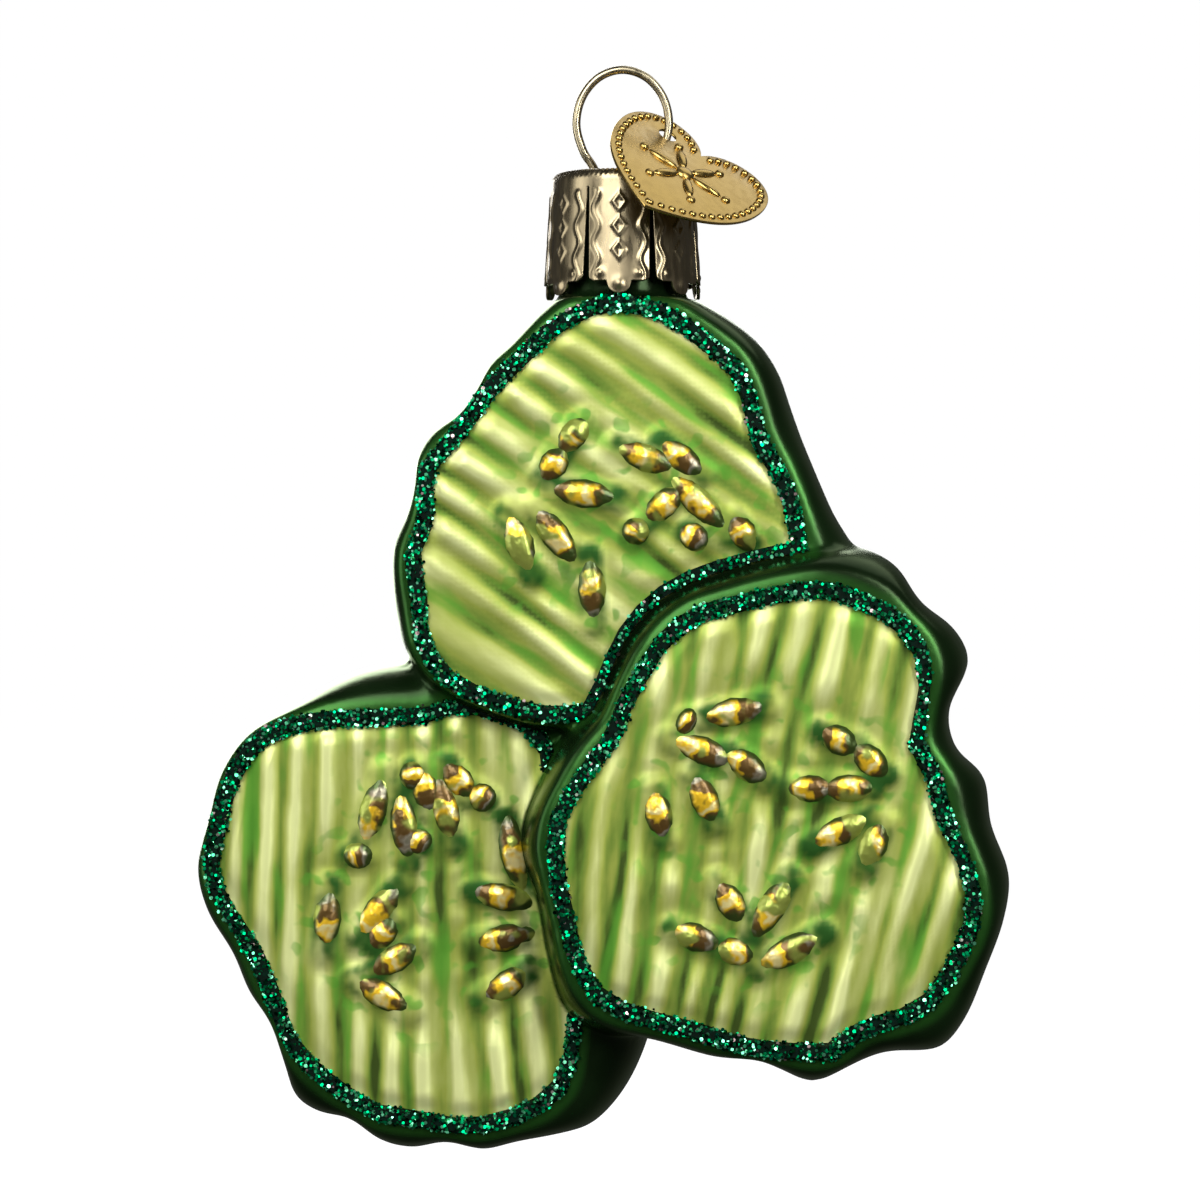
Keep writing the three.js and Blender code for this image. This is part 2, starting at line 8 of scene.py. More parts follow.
import bmesh
import bpy
import numpy as np
from mathutils import Euler, Matrix, Vector, noise


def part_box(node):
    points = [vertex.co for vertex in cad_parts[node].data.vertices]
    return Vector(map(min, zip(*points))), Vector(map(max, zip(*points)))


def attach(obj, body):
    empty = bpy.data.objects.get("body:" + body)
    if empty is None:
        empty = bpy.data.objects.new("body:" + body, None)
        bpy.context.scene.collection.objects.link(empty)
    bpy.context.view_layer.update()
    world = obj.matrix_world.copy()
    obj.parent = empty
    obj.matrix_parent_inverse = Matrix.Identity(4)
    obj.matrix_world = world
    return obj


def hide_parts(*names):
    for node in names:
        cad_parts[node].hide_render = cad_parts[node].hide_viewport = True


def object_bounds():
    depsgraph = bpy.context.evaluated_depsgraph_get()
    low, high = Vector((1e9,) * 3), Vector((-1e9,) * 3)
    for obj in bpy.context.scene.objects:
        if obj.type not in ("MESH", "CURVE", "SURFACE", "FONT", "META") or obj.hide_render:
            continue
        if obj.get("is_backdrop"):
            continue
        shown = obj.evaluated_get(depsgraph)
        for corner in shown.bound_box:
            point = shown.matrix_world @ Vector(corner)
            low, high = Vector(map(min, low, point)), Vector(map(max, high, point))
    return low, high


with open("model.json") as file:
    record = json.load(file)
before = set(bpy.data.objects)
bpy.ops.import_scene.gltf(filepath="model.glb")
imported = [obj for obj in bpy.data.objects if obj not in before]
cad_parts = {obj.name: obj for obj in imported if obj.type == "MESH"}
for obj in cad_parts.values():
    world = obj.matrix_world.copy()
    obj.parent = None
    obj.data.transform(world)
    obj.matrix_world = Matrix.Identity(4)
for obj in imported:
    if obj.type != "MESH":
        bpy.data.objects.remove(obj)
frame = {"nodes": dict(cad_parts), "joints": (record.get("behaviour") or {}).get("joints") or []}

bl_info = {
    "name": "Pickle Slice Ornament",
    "version": (1, 0, 0),
    "blender": (4, 5, 0),
    "location": "View3D > Sidebar > Ornament",
    "description": "Builds a blown-glass ornament of pickle slices with its cap, loop, tag and glitter",
    "category": "Object",
}

MM = 0.001
SIDES = {"front": -1, "back": 1}
TURNS = np.linspace(0, 2 * math.pi, 240, endpoint=False)  # round a slice, where its outline is worked out

# Starting values of the random draws, so that each run gives the same seeds and flakes
SEEDS_CHANCE = 5
GLITTER_CHANCE = 11

# The slices, in millimetres. A centre is (right of the neck's axis, below the shoulder), and step is -1 for
# the slice in front and 1 for the one behind. Outlines, the wall's widest line, and faces, the edge of the
# flat front face, are (across, up) from the centre, clockwise seen from the front. Seeds are (across, up,
# length, angle). Ridges run at ridge_angle degrees from the level, ridge_pitch apart, and fan out upwards by
# fan per millimetre. The painted light lift moves a slice's paint towards the colour of its crests: painted
# light that makes a slice paler where the lamps light it less.
SLICES = {
    "right": {
        "centre": (11.7, 45.0),
        "step": -1,
        "ridge_angle": 79,
        "ridge_pitch": 3.4,
        "fan": 0.006,
        "painted_light_lift": 0.0,
        "outline": [
            (3.4, 23.1), (8.4, 23.5), (12, 21.9), (14.2, 18.7), (17.2, 16.3), (18.5, 13.6), (16.7, 9.3),
            (17.3, 6), (19.8, 3.4), (20.4, -0.7), (22, -5.2), (21.5, -8.8), (19.9, -13.2), (18, -17.8),
            (15.9, -20.2), (11.2, -20.5), (8, -21.6), (4.7, -23.1), (1.9, -21.9), (-0.2, -20.9),
            (-3.8, -20.8), (-9.7, -19.2), (-13.7, -18.7), (-16.7, -16.5), (-18.1, -12), (-19.1, -6.7),
            (-20.5, -2.9), (-20.2, -0.4), (-19.4, 1.8), (-18.3, 4.2), (-17.2, 6.4), (-15.9, 8),
            (-14.4, 9.2), (-13.4, 10.9), (-12.7, 12.9), (-11.4, 15.8), (-8.9, 18.6), (-5.2, 20.7),
        ],
        "face": [
            (17.7, -2.5), (18.7, -5.4), (18.9, -8.4), (17.3, -12.6), (14.7, -16.3), (11.9, -17.7),
            (9, -18.5), (6.6, -20.4), (4, -20.6), (-1.4, -20.1), (-6.1, -18.7), (-10.2, -17.6),
            (-14.2, -15.8), (-16.4, -12.3), (-17.2, -9.2), (-18.2, -4.9), (-18.1, 0), (-16.6, 2.9),
            (-14.9, 5.4), (-13.3, 7.6), (-12.3, 10.3), (-10.8, 12.9), (-8.8, 15.9), (-5.9, 18.2),
            (-2.7, 19.1), (0.7, 19.9), (5.1, 20.5), (8.7, 19.5), (12, 17.8), (14, 15.5), (14.7, 12.8),
            (14.2, 8.8), (14.1, 6.3), (15.4, 4.7), (15.9, 2.5), (16.6, 0),
        ],
        "seeds": [
            (-2.3, 9.2, 4.9, 12), (-6.3, 8.4, 1.4, -30), (-4.9, 5.9, 5, -22), (-1.2, 4.6, 3.9, -33),
            (-4.8, 1.8, 4.2, -66), (-8.7, 0.5, 4, -77), (6.7, 6.8, 3.4, -30), (9.3, 5.1, 3.6, -42),
            (4.1, 2.7, 3.3, 0), (7.5, 2.7, 3.8, 3), (6.8, -0.9, 4.8, 27), (9.6, -2.1, 3.9, 68),
            (-2.6, -7, 3.8, -58), (0.9, -7.5, 5.3, 57), (-5.5, -10, 3.9, -20), (-2.2, -11.2, 3.2, -18),
            (2.5, -11.1, 5.4, 27),
        ],
    },
    "top": {
        "centre": (-1.4, 18.4),
        "step": 0,
        "ridge_angle": -35,
        "ridge_pitch": 3.3,
        "fan": 0.0,
        "painted_light_lift": 0.03,
        "outline": [
            (-2.5, 20), (0.9, 20.6), (4.9, 20), (8.7, 18.1), (11.3, 16.5), (13.6, 14.5), (15.2, 12),
            (16.1, 9.4), (17.2, 6.3), (18.5, 3.1), (20, -0.3), (21.7, -3.4), (21.4, -6.3), (18.4, -9.3),
            (14.3, -12.9), (10.3, -15.3), (6.2, -16.9), (2, -18.1), (-2, -18.8), (-5.5, -19),
            (-10.2, -17.6), (-14, -15.9), (-16.6, -13.8), (-17.9, -11.8), (-18.7, -8.9), (-19, -5.6),
            (-18.8, -2.7), (-17.6, -0.3), (-16.6, 2.3), (-16.6, 4.8), (-15.4, 6.9), (-12.7, 8.3),
            (-11.3, 10.4), (-10.3, 12.9), (-8.6, 14.4), (-5.6, 17.7),
        ],
        "face": [
            (18.1, -5.9), (17.1, -9.1), (13.9, -12.5), (10, -14.8), (6, -16.4), (1.9, -17.6),
            (-1.9, -18.3), (-5.3, -18.5), (-10, -17.3), (-14.5, -15), (-16.5, -12), (-16.9, -8.2),
            (-17.5, -4), (-16.4, -1.1), (-16.5, 1.2), (-16.3, 3.5), (-14.5, 5.8), (-12.5, 8.4),
            (-10.2, 11.4), (-7.5, 14), (-4.2, 16.8), (0, 18.5), (4.5, 17.9), (8.8, 15.2), (11.9, 12.3),
            (13.2, 8.9), (13.9, 6.2), (15.6, 3.3), (16.8, 0), (17.3, -3.1),
        ],
        "seeds": [
            (-2.9, 6.3, 3.1, 52), (-4.6, 3.8, 3.2, 56), (-2, 1.3, 5.2, -8), (-7.5, -3, 4.9, -68),
            (-4.4, -2.3, 5.2, -54), (-1.3, -6.9, 4.9, -86), (3.4, 4.4, 5, -20), (6.4, 4.3, 4.2, -38),
            (7.8, 0.6, 6.2, -45), (4.9, 0.4, 3.6, 42), (2.5, -1.9, 1.9, 60), (7.5, -2.4, 2.2, -40),
            (11.6, -2, 2.9, -60),
        ],
    },
    "left": {
        "centre": (-20.0, 53.1),
        "step": 1,
        "ridge_angle": 90,
        "ridge_pitch": 2.9,
        "fan": -0.004,
        "painted_light_lift": 0.09,
        "outline": [
            (1.9, 21.4), (7.2, 20.6), (12.5, 18.9), (16.6, 16.9), (19.4, 12.6), (21.1, 7.4), (22.2, 2),
            (22.9, -3.5), (23.1, -8), (22.1, -12.7), (20, -16.9), (17.3, -19.6), (14.5, -20.4),
            (10.8, -21), (7.8, -21.7), (4.7, -20.9), (1.6, -21.6), (-1.3, -20.9), (-4, -18.9),
            (-6.7, -18.5), (-8.9, -17.1), (-9.8, -14.1), (-10.8, -10.5), (-13, -7.6), (-14.4, -4.2),
            (-16.7, -0.4), (-17.4, 3.4), (-16.2, 7.9), (-15.3, 11.6), (-13.1, 14.9), (-8.8, 17.7),
            (-5.2, 19.9), (-2.1, 21),
        ],
        "face": [
            (16.8, -4.8), (16.5, -9.6), (16.1, -13.5), (14.8, -16.4), (12.2, -18.2), (7.1, -19.6),
            (2, -19), (-1.3, -18.5), (-3.7, -17.2), (-6.7, -15.1), (-9.4, -12.1), (-10.7, -9),
            (-11.8, -6.3), (-13, -3.7), (-14.3, -1.5), (-15.8, 1.1), (-16.6, 3.5), (-15.7, 8.4),
            (-14.5, 12.1), (-12.1, 15.4), (-8.9, 16.8), (-4.4, 17.4), (-0.6, 17.5), (3.1, 17.7),
            (6.1, 18.5), (9.5, 17.8), (12.5, 16.5), (13.8, 14.8), (14.1, 12.3), (14.7, 9.5), (16, 5.8),
            (17, 0),
        ],
        "seeds": [
            (-5.7, -0.8, 4.9, 86), (-1.2, -0.1, 5.2, 50), (-0.8, -2, 3, 55), (0.2, -4.3, 4.3, 32),
            (-0.9, -7.4, 4.7, -30), (-1.7, 8.6, 5.6, 73), (1, 7.2, 5.3, -83), (1.8, 11.6, 2, 88),
            (2.9, 10.3, 3.6, -80), (4.6, 8.7, 5.2, -74), (5.7, 11.2, 3.4, -55), (7.8, 9.7, 2, -35),
            (-3, 4.7, 2, 5), (2.3, 5.9, 1.8, -60), (10.5, 5, 5.2, -77), (9.4, 1.1, 4.3, -12),
            (9.6, -2.5, 4.4, 10), (9.9, -6.5, 4.5, 32),
        ],
    },
}


class GlassSettings(bpy.types.PropertyGroup):
    """Sizes and colours of the blown body and its seeds."""

    wall: bpy.props.FloatProperty(
        name="Wall", description="Thickness of the blown glass", default=0.9 * MM, unit="LENGTH"
    )
    thickness: bpy.props.FloatProperty(
        name="Slice thickness", description="Face to face", default=19.5 * MM, unit="LENGTH"
    )
    step: bpy.props.FloatProperty(
        name="Slice step", description="How far each slice stands behind the next", default=3.2 * MM,
        unit="LENGTH",
    )
    fullness: bpy.props.FloatProperty(
        name="Wall fullness", description="1 is an elliptical wall, less is a fuller one", default=0.7
    )
    neck_radius: bpy.props.FloatProperty(
        name="Neck radius", description="Outside radius of the neck", default=5.55 * MM, unit="LENGTH"
    )
    bore_radius: bpy.props.FloatProperty(
        name="Bore radius", description="Inside radius of the neck", default=4.75 * MM, unit="LENGTH"
    )
    bore_depth: bpy.props.FloatProperty(
        name="Bore depth", description="Of the bore below the shoulder", default=5.6 * MM, unit="LENGTH"
    )
    seat_gap: bpy.props.FloatProperty(
        name="Seat gap", description="Between the cap's lobes and the shoulder", default=0.4 * MM,
        unit="LENGTH",
    )
    crown_gap: bpy.props.FloatProperty(
        name="Crown gap", description="From the top of the crown to the top of the neck", default=0.65 * MM,
        unit="LENGTH",
    )
    grain: bpy.props.FloatProperty(
        name="Grain", description="Size of the outer skin's faces", default=0.41 * MM, unit="LENGTH"
    )
    smoothing: bpy.props.IntProperty(
        name="Smoothing", description="How many times the outer skin is smoothed", default=9
    )
    crinkle: bpy.props.FloatProperty(
        name="Crinkle height", description="Height of the ridges above the face", default=0.65 * MM,
        unit="LENGTH",
    )
    rim_width: bpy.props.FloatProperty(
        name="Rim width", description="Flat rim under the glitter, where no ridge reaches", default=1.7 * MM,
        unit="LENGTH",
    )
    # A painted highlight: a brighter green band on the walls beside the faces, this wide
    glow_width: bpy.props.FloatProperty(
        name="Glow width", description="How far the lacquer is thin and bright beside a face",
        default=1.5 * MM, unit="LENGTH",
    )
    wall_rim_saving: bpy.props.FloatProperty(
        name="Wall rim saving", description="How much narrower the rim is along a nearer slice's wall",
        default=0.5 * MM, unit="LENGTH",
    )
    seed_rise: bpy.props.FloatProperty(
        name="Seed rise", description="Height of a seed above the face", default=0.84 * MM, unit="LENGTH"
    )
    seed_sink: bpy.props.FloatProperty(
        name="Seed sink", description="How deep a seed's widest line lies under the face", default=0.55 * MM,
        unit="LENGTH",
    )
    seed_swell: bpy.props.FloatProperty(
        name="Seed swell", description="How far the face swells round a seed", default=0.32 * MM,
        unit="LENGTH",
    )
    seed_stretch: bpy.props.FloatProperty(
        name="Seed stretch", description="Length of the seeds against their listed lengths", default=1.6
    )
    seed_width: bpy.props.FloatProperty(
        name="Seed width", description="Width of a seed", default=3.0 * MM, unit="LENGTH"
    )
    # Pale crests: partly the paint's own pale stripes, partly a painted highlight on the ridges
    crest_colour: bpy.props.FloatVectorProperty(
        name="Crest", description="Colour of the ridges' crests", default=(0.72, 0.76, 0.33), subtype="COLOR"
    )
    slope_colour: bpy.props.FloatVectorProperty(
        name="Slope", description="Colour just under the crests", default=(0.46, 0.50, 0.15), subtype="COLOR"
    )
    flesh_colour: bpy.props.FloatVectorProperty(
        name="Flesh", description="Colour half way down", default=(0.31, 0.365, 0.065), subtype="COLOR"
    )
    valley_colour: bpy.props.FloatVectorProperty(
        name="Valley", description="Colour of the valleys", default=(0.13, 0.22, 0.03), subtype="COLOR"
    )
    # Dark lines: partly painted outlines, partly painted shade along the valleys and in the creases round the
    # seeds
    line_colour: bpy.props.FloatVectorProperty(
        name="Line", description="Dark lines along the valleys and round the seeds",
        default=(0.045, 0.075, 0.012), subtype="COLOR",
    )
    streak_colour: bpy.props.FloatVectorProperty(
        name="Streak", description="Colour of the bright green streaks", default=(0.09, 0.31, 0.028),
        subtype="COLOR",
    )
    # Painted shade in the creases round the seeds
    shadow_colour: bpy.props.FloatVectorProperty(
        name="Seed shadow", description="Dark green in the creases round the seeds",
        default=(0.020, 0.085, 0.012), subtype="COLOR",
    )
    wall_colour: bpy.props.FloatVectorProperty(
        name="Wall colour", description="Dark lacquer of the slices' walls", default=(0.009, 0.026, 0.007),
        subtype="COLOR",
    )
    # The colour of the painted highlight on the walls beside the faces
    glow_colour: bpy.props.FloatVectorProperty(
        name="Rim highlight", description="Thin lacquer beside the faces", default=(0.018, 0.085, 0.012),
        subtype="COLOR",
    )
    # A painted highlight: the pale gold patch on each seed
    seed_light: bpy.props.FloatVectorProperty(
        name="Seed light", description="Pale gold of the seeds' hot patches", default=(1.0, 0.84, 0.34),
        subtype="COLOR",
    )
    seed_colour: bpy.props.FloatVectorProperty(
        name="Seed colour", description="Gold paint of the seeds", default=(0.96, 0.60, 0.025),
        subtype="COLOR",
    )
    # Brown ends: partly the seeds' own brown paint, partly painted shade
    seed_shade: bpy.props.FloatVectorProperty(
        name="Seed shade", description="Brown ends of the seeds", default=(0.13, 0.072, 0.016),
        subtype="COLOR",
    )
    seed_grey: bpy.props.FloatVectorProperty(
        name="Seed grey", description="Bare silver at a seed's end", default=(0.30, 0.27, 0.19),
        subtype="COLOR",
    )


def link_object(name, data):
    """A new object in the scene that shows a mesh, a curve, a light or a camera."""
    made = bpy.data.objects.new(name, data)
    bpy.context.scene.collection.objects.link(made)
    return made


def finish_piece(made, body, material):
    """Gives a piece its finish and lets it ride on its body."""
    made.data.materials.clear()
    made.data.materials.append(material)
    made.data.shade_smooth()
    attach(made, body)


def mesh_of(bm, name):
    """The mesh that a bmesh holds, which is freed."""
    mesh = bpy.data.meshes.new(name)
    bm.to_mesh(mesh)
    bm.free()
    return mesh


def evaluated_mesh(made):
    """A new mesh of the object as it shows, with its modifiers or its curve's thickness."""
    graph = bpy.context.evaluated_depsgraph_get()
    return bpy.data.meshes.new_from_object(made.evaluated_get(graph), depsgraph=graph)


def baked(made):
    """The object, with its modifiers applied to its mesh."""
    mesh = evaluated_mesh(made)
    made.modifiers.clear()
    made.data = mesh
    return made


def curve_points(points, steps, closed):
    """Points along a centripetal Catmull-Rom curve, with so many steps to each stretch."""
    count = len(points)
    points = [Vector(point) for point in points]
    found = []
    for i in range(count if closed else count - 1):
        if closed:
            a, b, c, d = (points[(i + k) % count] for k in (-1, 0, 1, 2))
        else:
            b, c = points[i], points[i + 1]
            a = points[i - 1] if i else 2 * b - c
            d = points[i + 2] if i + 2 < count else 2 * c - b
        ab, bc, cd = (math.sqrt((q - p).length) for p, q in ((a, b), (b, c), (c, d)))
        leave = ((b - a) / ab - (c - a) / (ab + bc) + (c - b) / bc) * bc
        arrive = ((c - b) / bc - (d - b) / (bc + cd) + (d - c) / cd) * bc
        for step in range(steps):
            t = step / steps
            found.append(
                b * (2 * t**3 - 3 * t**2 + 1)
                + leave * (t**3 - 2 * t**2 + t)
                + c * (3 * t**2 - 2 * t**3)
                + arrive * (t**3 - t**2)
            )
    if not closed:
        found.append(points[-1])
    return found


def shoulder_height(glass):
    """The z of the flat shoulder that the neck stands on."""
    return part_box("cap")[0].z - glass.seat_gap


def slice_middle(glass, piece):
    """The middle of a slice, half way through its thickness."""
    across, below = piece["centre"]
    return Vector((across * MM, piece["step"] * glass.step, shoulder_height(glass) - below * MM))


def face_height(glass, piece, side):
    """The y of a slice's face on one side."""
    return piece["step"] * glass.step + side * glass.thickness / 2


def face_middle(glass, piece, side):
    """The middle of a slice's face on one side."""
    middle = slice_middle(glass, piece)
    return Vector((middle.x, face_height(glass, piece, side), middle.z))


def reaches(points):
    """How far a smooth closed curve through points lies from their origin, at each of the turns."""
    curve = np.array(curve_points([(x * MM, y * MM) for x, y in points], steps=12, closed=True))
    angles = np.arctan2(curve[:, 1], curve[:, 0])
    return np.interp(TURNS, angles, np.linalg.norm(curve, axis=1), period=2 * math.pi)


def slice_ring(glass, piece, lean, full, inset=0.0):
    """A slice's outline as points [x, z]: fullness 1 is its wall's widest line and 0 the edge of its face.
    Behind the middle, where lean is over 0, the wall rounds off the other way."""
    widest = reaches(piece["outline"])
    rounding = widest - reaches(piece["face"])
    if lean > 0:
        rounding = np.roll(rounding, len(TURNS) // 2)
    reach = widest - rounding * (1 - full) - inset
    middle = slice_middle(glass, piece)
    return np.stack([middle.x + reach * np.cos(TURNS), middle.z + reach * np.sin(TURNS)], axis=1)


def ring_at(glass, piece, y):
    """A slice's outline as points [x, z] at a depth y."""
    lean = (y - piece["step"] * glass.step) / (glass.thickness / 2)
    full = math.sqrt(max(0, 1 - lean**2)) ** glass.fullness
    return slice_ring(glass, piece, lean, full)


def add_puck(bm, glass, piece, wall, rings):
    """Adds a slice, or with a wall the hollow inside it, lofted from front to back through its outlines."""
    middle_y = piece["step"] * glass.step
    half_depth = glass.thickness / 2 - wall
    layers = []
    for ring in range(rings + 1):
        turn = math.pi * ring / rings
        full = math.sin(turn) ** glass.fullness if 0 < ring < rings else 0
        lean = -math.cos(turn)
        layers.append((middle_y + half_depth * lean, slice_ring(glass, piece, lean, full, wall)))
    y, points = layers[0]
    verts = [bm.verts.new((x, y, z)) for x, z in points]
    edges = [bm.edges.new((a, b)) for a, b in zip(verts, verts[1:] + verts[:1])]
    bmesh.ops.contextual_create(bm, geom=edges)
    for y, points in layers[1:]:
        made = bmesh.ops.extrude_edge_only(bm, edges=edges)["geom"]
        loop = [item for item in made if isinstance(item, bmesh.types.BMVert)]
        ring_verts = set(loop)
        edges = [
            item for item in made if isinstance(item, bmesh.types.BMEdge) and set(item.verts) <= ring_verts
        ]
        for vert, (x, z) in zip(loop, points):
            vert.co = (x, y, z)
    bmesh.ops.contextual_create(bm, geom=edges)


def slices_together(glass, wall, rings):
    """The three slices in one mesh, cut flat under the neck."""
    bm = bmesh.new()
    for piece in SLICES.values():
        add_puck(bm, glass, piece, wall, rings)
    bmesh.ops.recalc_face_normals(bm, faces=bm.faces[:])
    cut = bmesh.ops.bisect_plane(
        bm,
        geom=bm.verts[:] + bm.edges[:] + bm.faces[:],
        plane_co=(0, 0, shoulder_height(glass) - wall),
        plane_no=(0, 0, 1),
        clear_outer=True,
    )["geom_cut"]
    bmesh.ops.contextual_create(bm, geom=[item for item in cut if isinstance(item, bmesh.types.BMEdge)])
    return bm


def melted(bm, name, grain):
    """Overlapping closed bodies run into one skin."""
    made = link_object(name, mesh_of(bm, name))
    remesh = made.modifiers.new("melt", "REMESH")
    remesh.mode = "VOXEL"
    remesh.voxel_size = grain
    return baked(made)


def add_column(bm, radius, low, high, segments=64):
    """Adds an upright closed cylinder round the neck's axis."""
    bmesh.ops.create_cone(
        bm,
        cap_ends=True,
        segments=segments,
        radius1=radius,
        radius2=radius,
        depth=high - low,
        matrix=Matrix.Translation((0, 0, (low + high) / 2)),
    )


def cut_away(made, cutter):
    """Takes a cutter's solid out of an object, and removes the cutter."""
    cut = made.modifiers.new("cut", "BOOLEAN")
    cut.operation = "DIFFERENCE"
    cut.solver = "MANIFOLD"
    cut.object = cutter
    baked(made)
    bpy.data.objects.remove(cutter)


def glass_shell(glass):
    """The hollow body: slices and neck in one skin, less the hollow inside and the neck's bore."""
    shoulder = shoulder_height(glass)
    neck_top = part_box("cap")[1].z - glass.crown_gap
    outside = slices_together(glass, wall=0, rings=36)
    add_column(outside, glass.neck_radius, shoulder - glass.wall, neck_top)
    made = melted(outside, "glass", glass.grain)
    bm = bmesh.new()
    bm.from_mesh(made.data)
    for _ in range(glass.smoothing):
        bmesh.ops.smooth_vert(
            bm,
            verts=bm.verts[:],
            factor=0.5,
            use_axis_x=True,
            use_axis_y=True,
            use_axis_z=True,
        )
    bm.to_mesh(made.data)
    bm.free()
    hollow = slices_together(glass, wall=glass.wall, rings=6)
    cut_away(made, melted(hollow, "hollow", 3 * glass.grain))
    bore = bmesh.new()
    add_column(bore, glass.bore_radius, shoulder - glass.bore_depth, neck_top + glass.wall)
    cut_away(made, link_object("bore", mesh_of(bore, "bore")))
    return made


def inside_distance(points, outline):
    """How far each point lies inside a closed outline, less than nothing outside it."""
    nearest = np.full(len(points), np.inf)
    crossings = np.zeros(len(points), int)
    for start, end in zip(outline, np.roll(outline, -1, axis=0)):
        span = end - start
        share = np.clip(((points - start) @ span) / (span @ span), 0, 1)
        nearest = np.minimum(nearest, np.linalg.norm(points - (start + share[:, None] * span), axis=1))
        above = (start[1] > points[:, 1]) != (end[1] > points[:, 1])
        rise = span[1] or 1e-12  # no point crosses a level stretch, whatever this divides there
        reach = start[0] + (points[:, 1] - start[1]) * span[0] / rise
        crossings += above & (points[:, 0] < reach)
    return np.where(crossings % 2 == 1, nearest, -nearest)


def smooth_step(value, low, high):
    """From 0 at low to 1 at high along a smooth curve, and level past them."""
    share = np.clip((value - low) / (high - low), 0, 1)
    return share * share * (3 - 2 * share)


def wavering(across, along, scales, layer):
    """Smooth noise from about -1 to 1 over the face's own coordinates, with its own scale each way."""
    return np.array([noise.noise((a / scales[0], b / scales[1], layer)) for a, b in zip(across, along)])


def face_depth(glass, piece, side, flat):
    """How far points [x, z] lie inside a face: from its edge, and from the walls of the slices before it."""
    level = face_height(glass, piece, side)
    depth = inside_distance(flat, slice_ring(glass, piece, side, 0))
    for other in SLICES.values():
        if (other["step"] - piece["step"]) * side > 0:
            beside = -inside_distance(flat, ring_at(glass, other, level)) + glass.wall_rim_saving
            depth = np.minimum(depth, beside)
    return depth


# How far the ridges wander, in millimetres, and how much of a ridge gives way to two where it parts
WANDER = 1.2
PARTING = 0.45
# From a seed's end to the end of its middle line, and from that line to where each thing starts and stops
# fading, in millimetres: the ridges' calm, the swelling of the face, the painted shade in the crease and the
# greener ground
SEED_TIP = 1.1
CALM_FADE = (1.0, 4.5)
SWELL_FADE = (0.5, 1.9)
CREASE_FADE = (0.8, 1.6)
CORE_FADE = (1.2, 5.0)
# From a face's edge to where the paint starts and is full, and from the rim to the ridges' full height
PAINT_START = (0.6 * MM, 1.0 * MM)
RIDGE_RUN_IN = 1.2 * MM
SLICE_LAYER = 40.0  # between the slices' places in the paint's noises, so that no two look alike


def ridge_heights(piece, number, across, along):
    """Crests from 0 to 1: ridges that wander, part and run together."""
    wander = WANDER * wavering(across, along, scales=(9.0, 17.0), layer=3.1 + number)
    phase = (across / (1 + piece["fan"] * along) + wander) / piece["ridge_pitch"]
    crest = 0.5 + 0.5 * np.cos(2 * math.pi * phase)
    parted = smooth_step(wavering(across, along, scales=(6.0, 18.0), layer=51.7 + number), 0.0, 0.5)
    fine = 0.5 + 0.5 * np.cos(4 * math.pi * phase + 0.8)
    return crest + PARTING * parted * (fine - crest)


def seed_gaps(glass, piece, u, v):
    """How far each point of a face, in millimetres, lies from the nearest seed's middle line."""
    nearest = np.full(len(u), np.inf)
    for seed_u, seed_v, length, angle in piece["seeds"]:
        direction = np.array([math.cos(math.radians(angle)), math.sin(math.radians(angle))])
        offset = np.stack([u - seed_u, v - seed_v], axis=1)
        reach = max(length * glass.seed_stretch / 2 - SEED_TIP, 0)
        share = np.clip(offset @ direction, -reach, reach)
        nearest = np.minimum(nearest, np.linalg.norm(offset - share[:, None] * direction, axis=1))
    return nearest


def glow_band(glass, piece, side, places):
    """Which points lie beside a face, and how strong the painted highlight on the wall is at each, from 0 to
    1.
    """
    away = np.abs(places[:, 1] - face_height(glass, piece, side))
    near = np.nonzero(away < 2 * glass.glow_width)[0]
    outside = -inside_distance(places[near][:, (0, 2)], slice_ring(glass, piece, side, 0))
    band = (outside > -glass.rim_width) * (1 - smooth_step(outside, 0, glass.glow_width))
    return near, band * (1 - smooth_step(away[near], 0, 2 * glass.glow_width))


def face_pattern(glass, piece, number, side, flat):
    """For points [x, z] of a face: how high each is raised, what its paint follows, and where it lies across
    and along the ridges."""
    depth = face_depth(glass, piece, side, flat)
    middle = face_middle(glass, piece, side)
    u = (flat[:, 0] - middle.x) / MM
    v = (flat[:, 1] - middle.z) / MM
    turn = math.radians(piece["ridge_angle"] - 90)
    across = u * math.cos(turn) + v * math.sin(turn)
    along = v * math.cos(turn) - u * math.sin(turn)
    crest = ridge_heights(piece, number, across, along)
    gap = seed_gaps(glass, piece, u, v)
    # Ridges are strong in some places and faint in others, and calm near the seeds
    strength = 0.6 + 0.7 * wavering(across, along, scales=(6.0, 14.0), layer=17.3 + number)
    calm = smooth_step(gap, *CALM_FADE)
    ramp = smooth_step(depth, glass.rim_width, glass.rim_width + RIDGE_RUN_IN)
    relief = ramp * np.clip(strength, 0.15, 1) * (0.25 + 0.75 * calm)
    swell = ramp * (1 - smooth_step(gap, *SWELL_FADE))
    rise = glass.crinkle * relief * crest + glass.seed_swell * swell
    contrast = np.clip(strength + 0.25, 0.35, 1.1) * (0.4 + 0.6 * calm)
    paint = {
        "face": smooth_step(depth, *PAINT_START),
        # The crests' paint carries a painted highlight, and the painted light lift makes a whole slice paler
        "crest": 0.5 + (crest - 0.5) * contrast + piece["painted_light_lift"],
        "seed": 1 - smooth_step(gap, *CREASE_FADE),
        # How much painted shade falls in the creases round the seeds
        "core": 1 - smooth_step(gap, *CORE_FADE),
    }
    ridge = np.stack([across, along, np.full(len(flat), SLICE_LAYER * number)], axis=1)
    return rise, paint, ridge


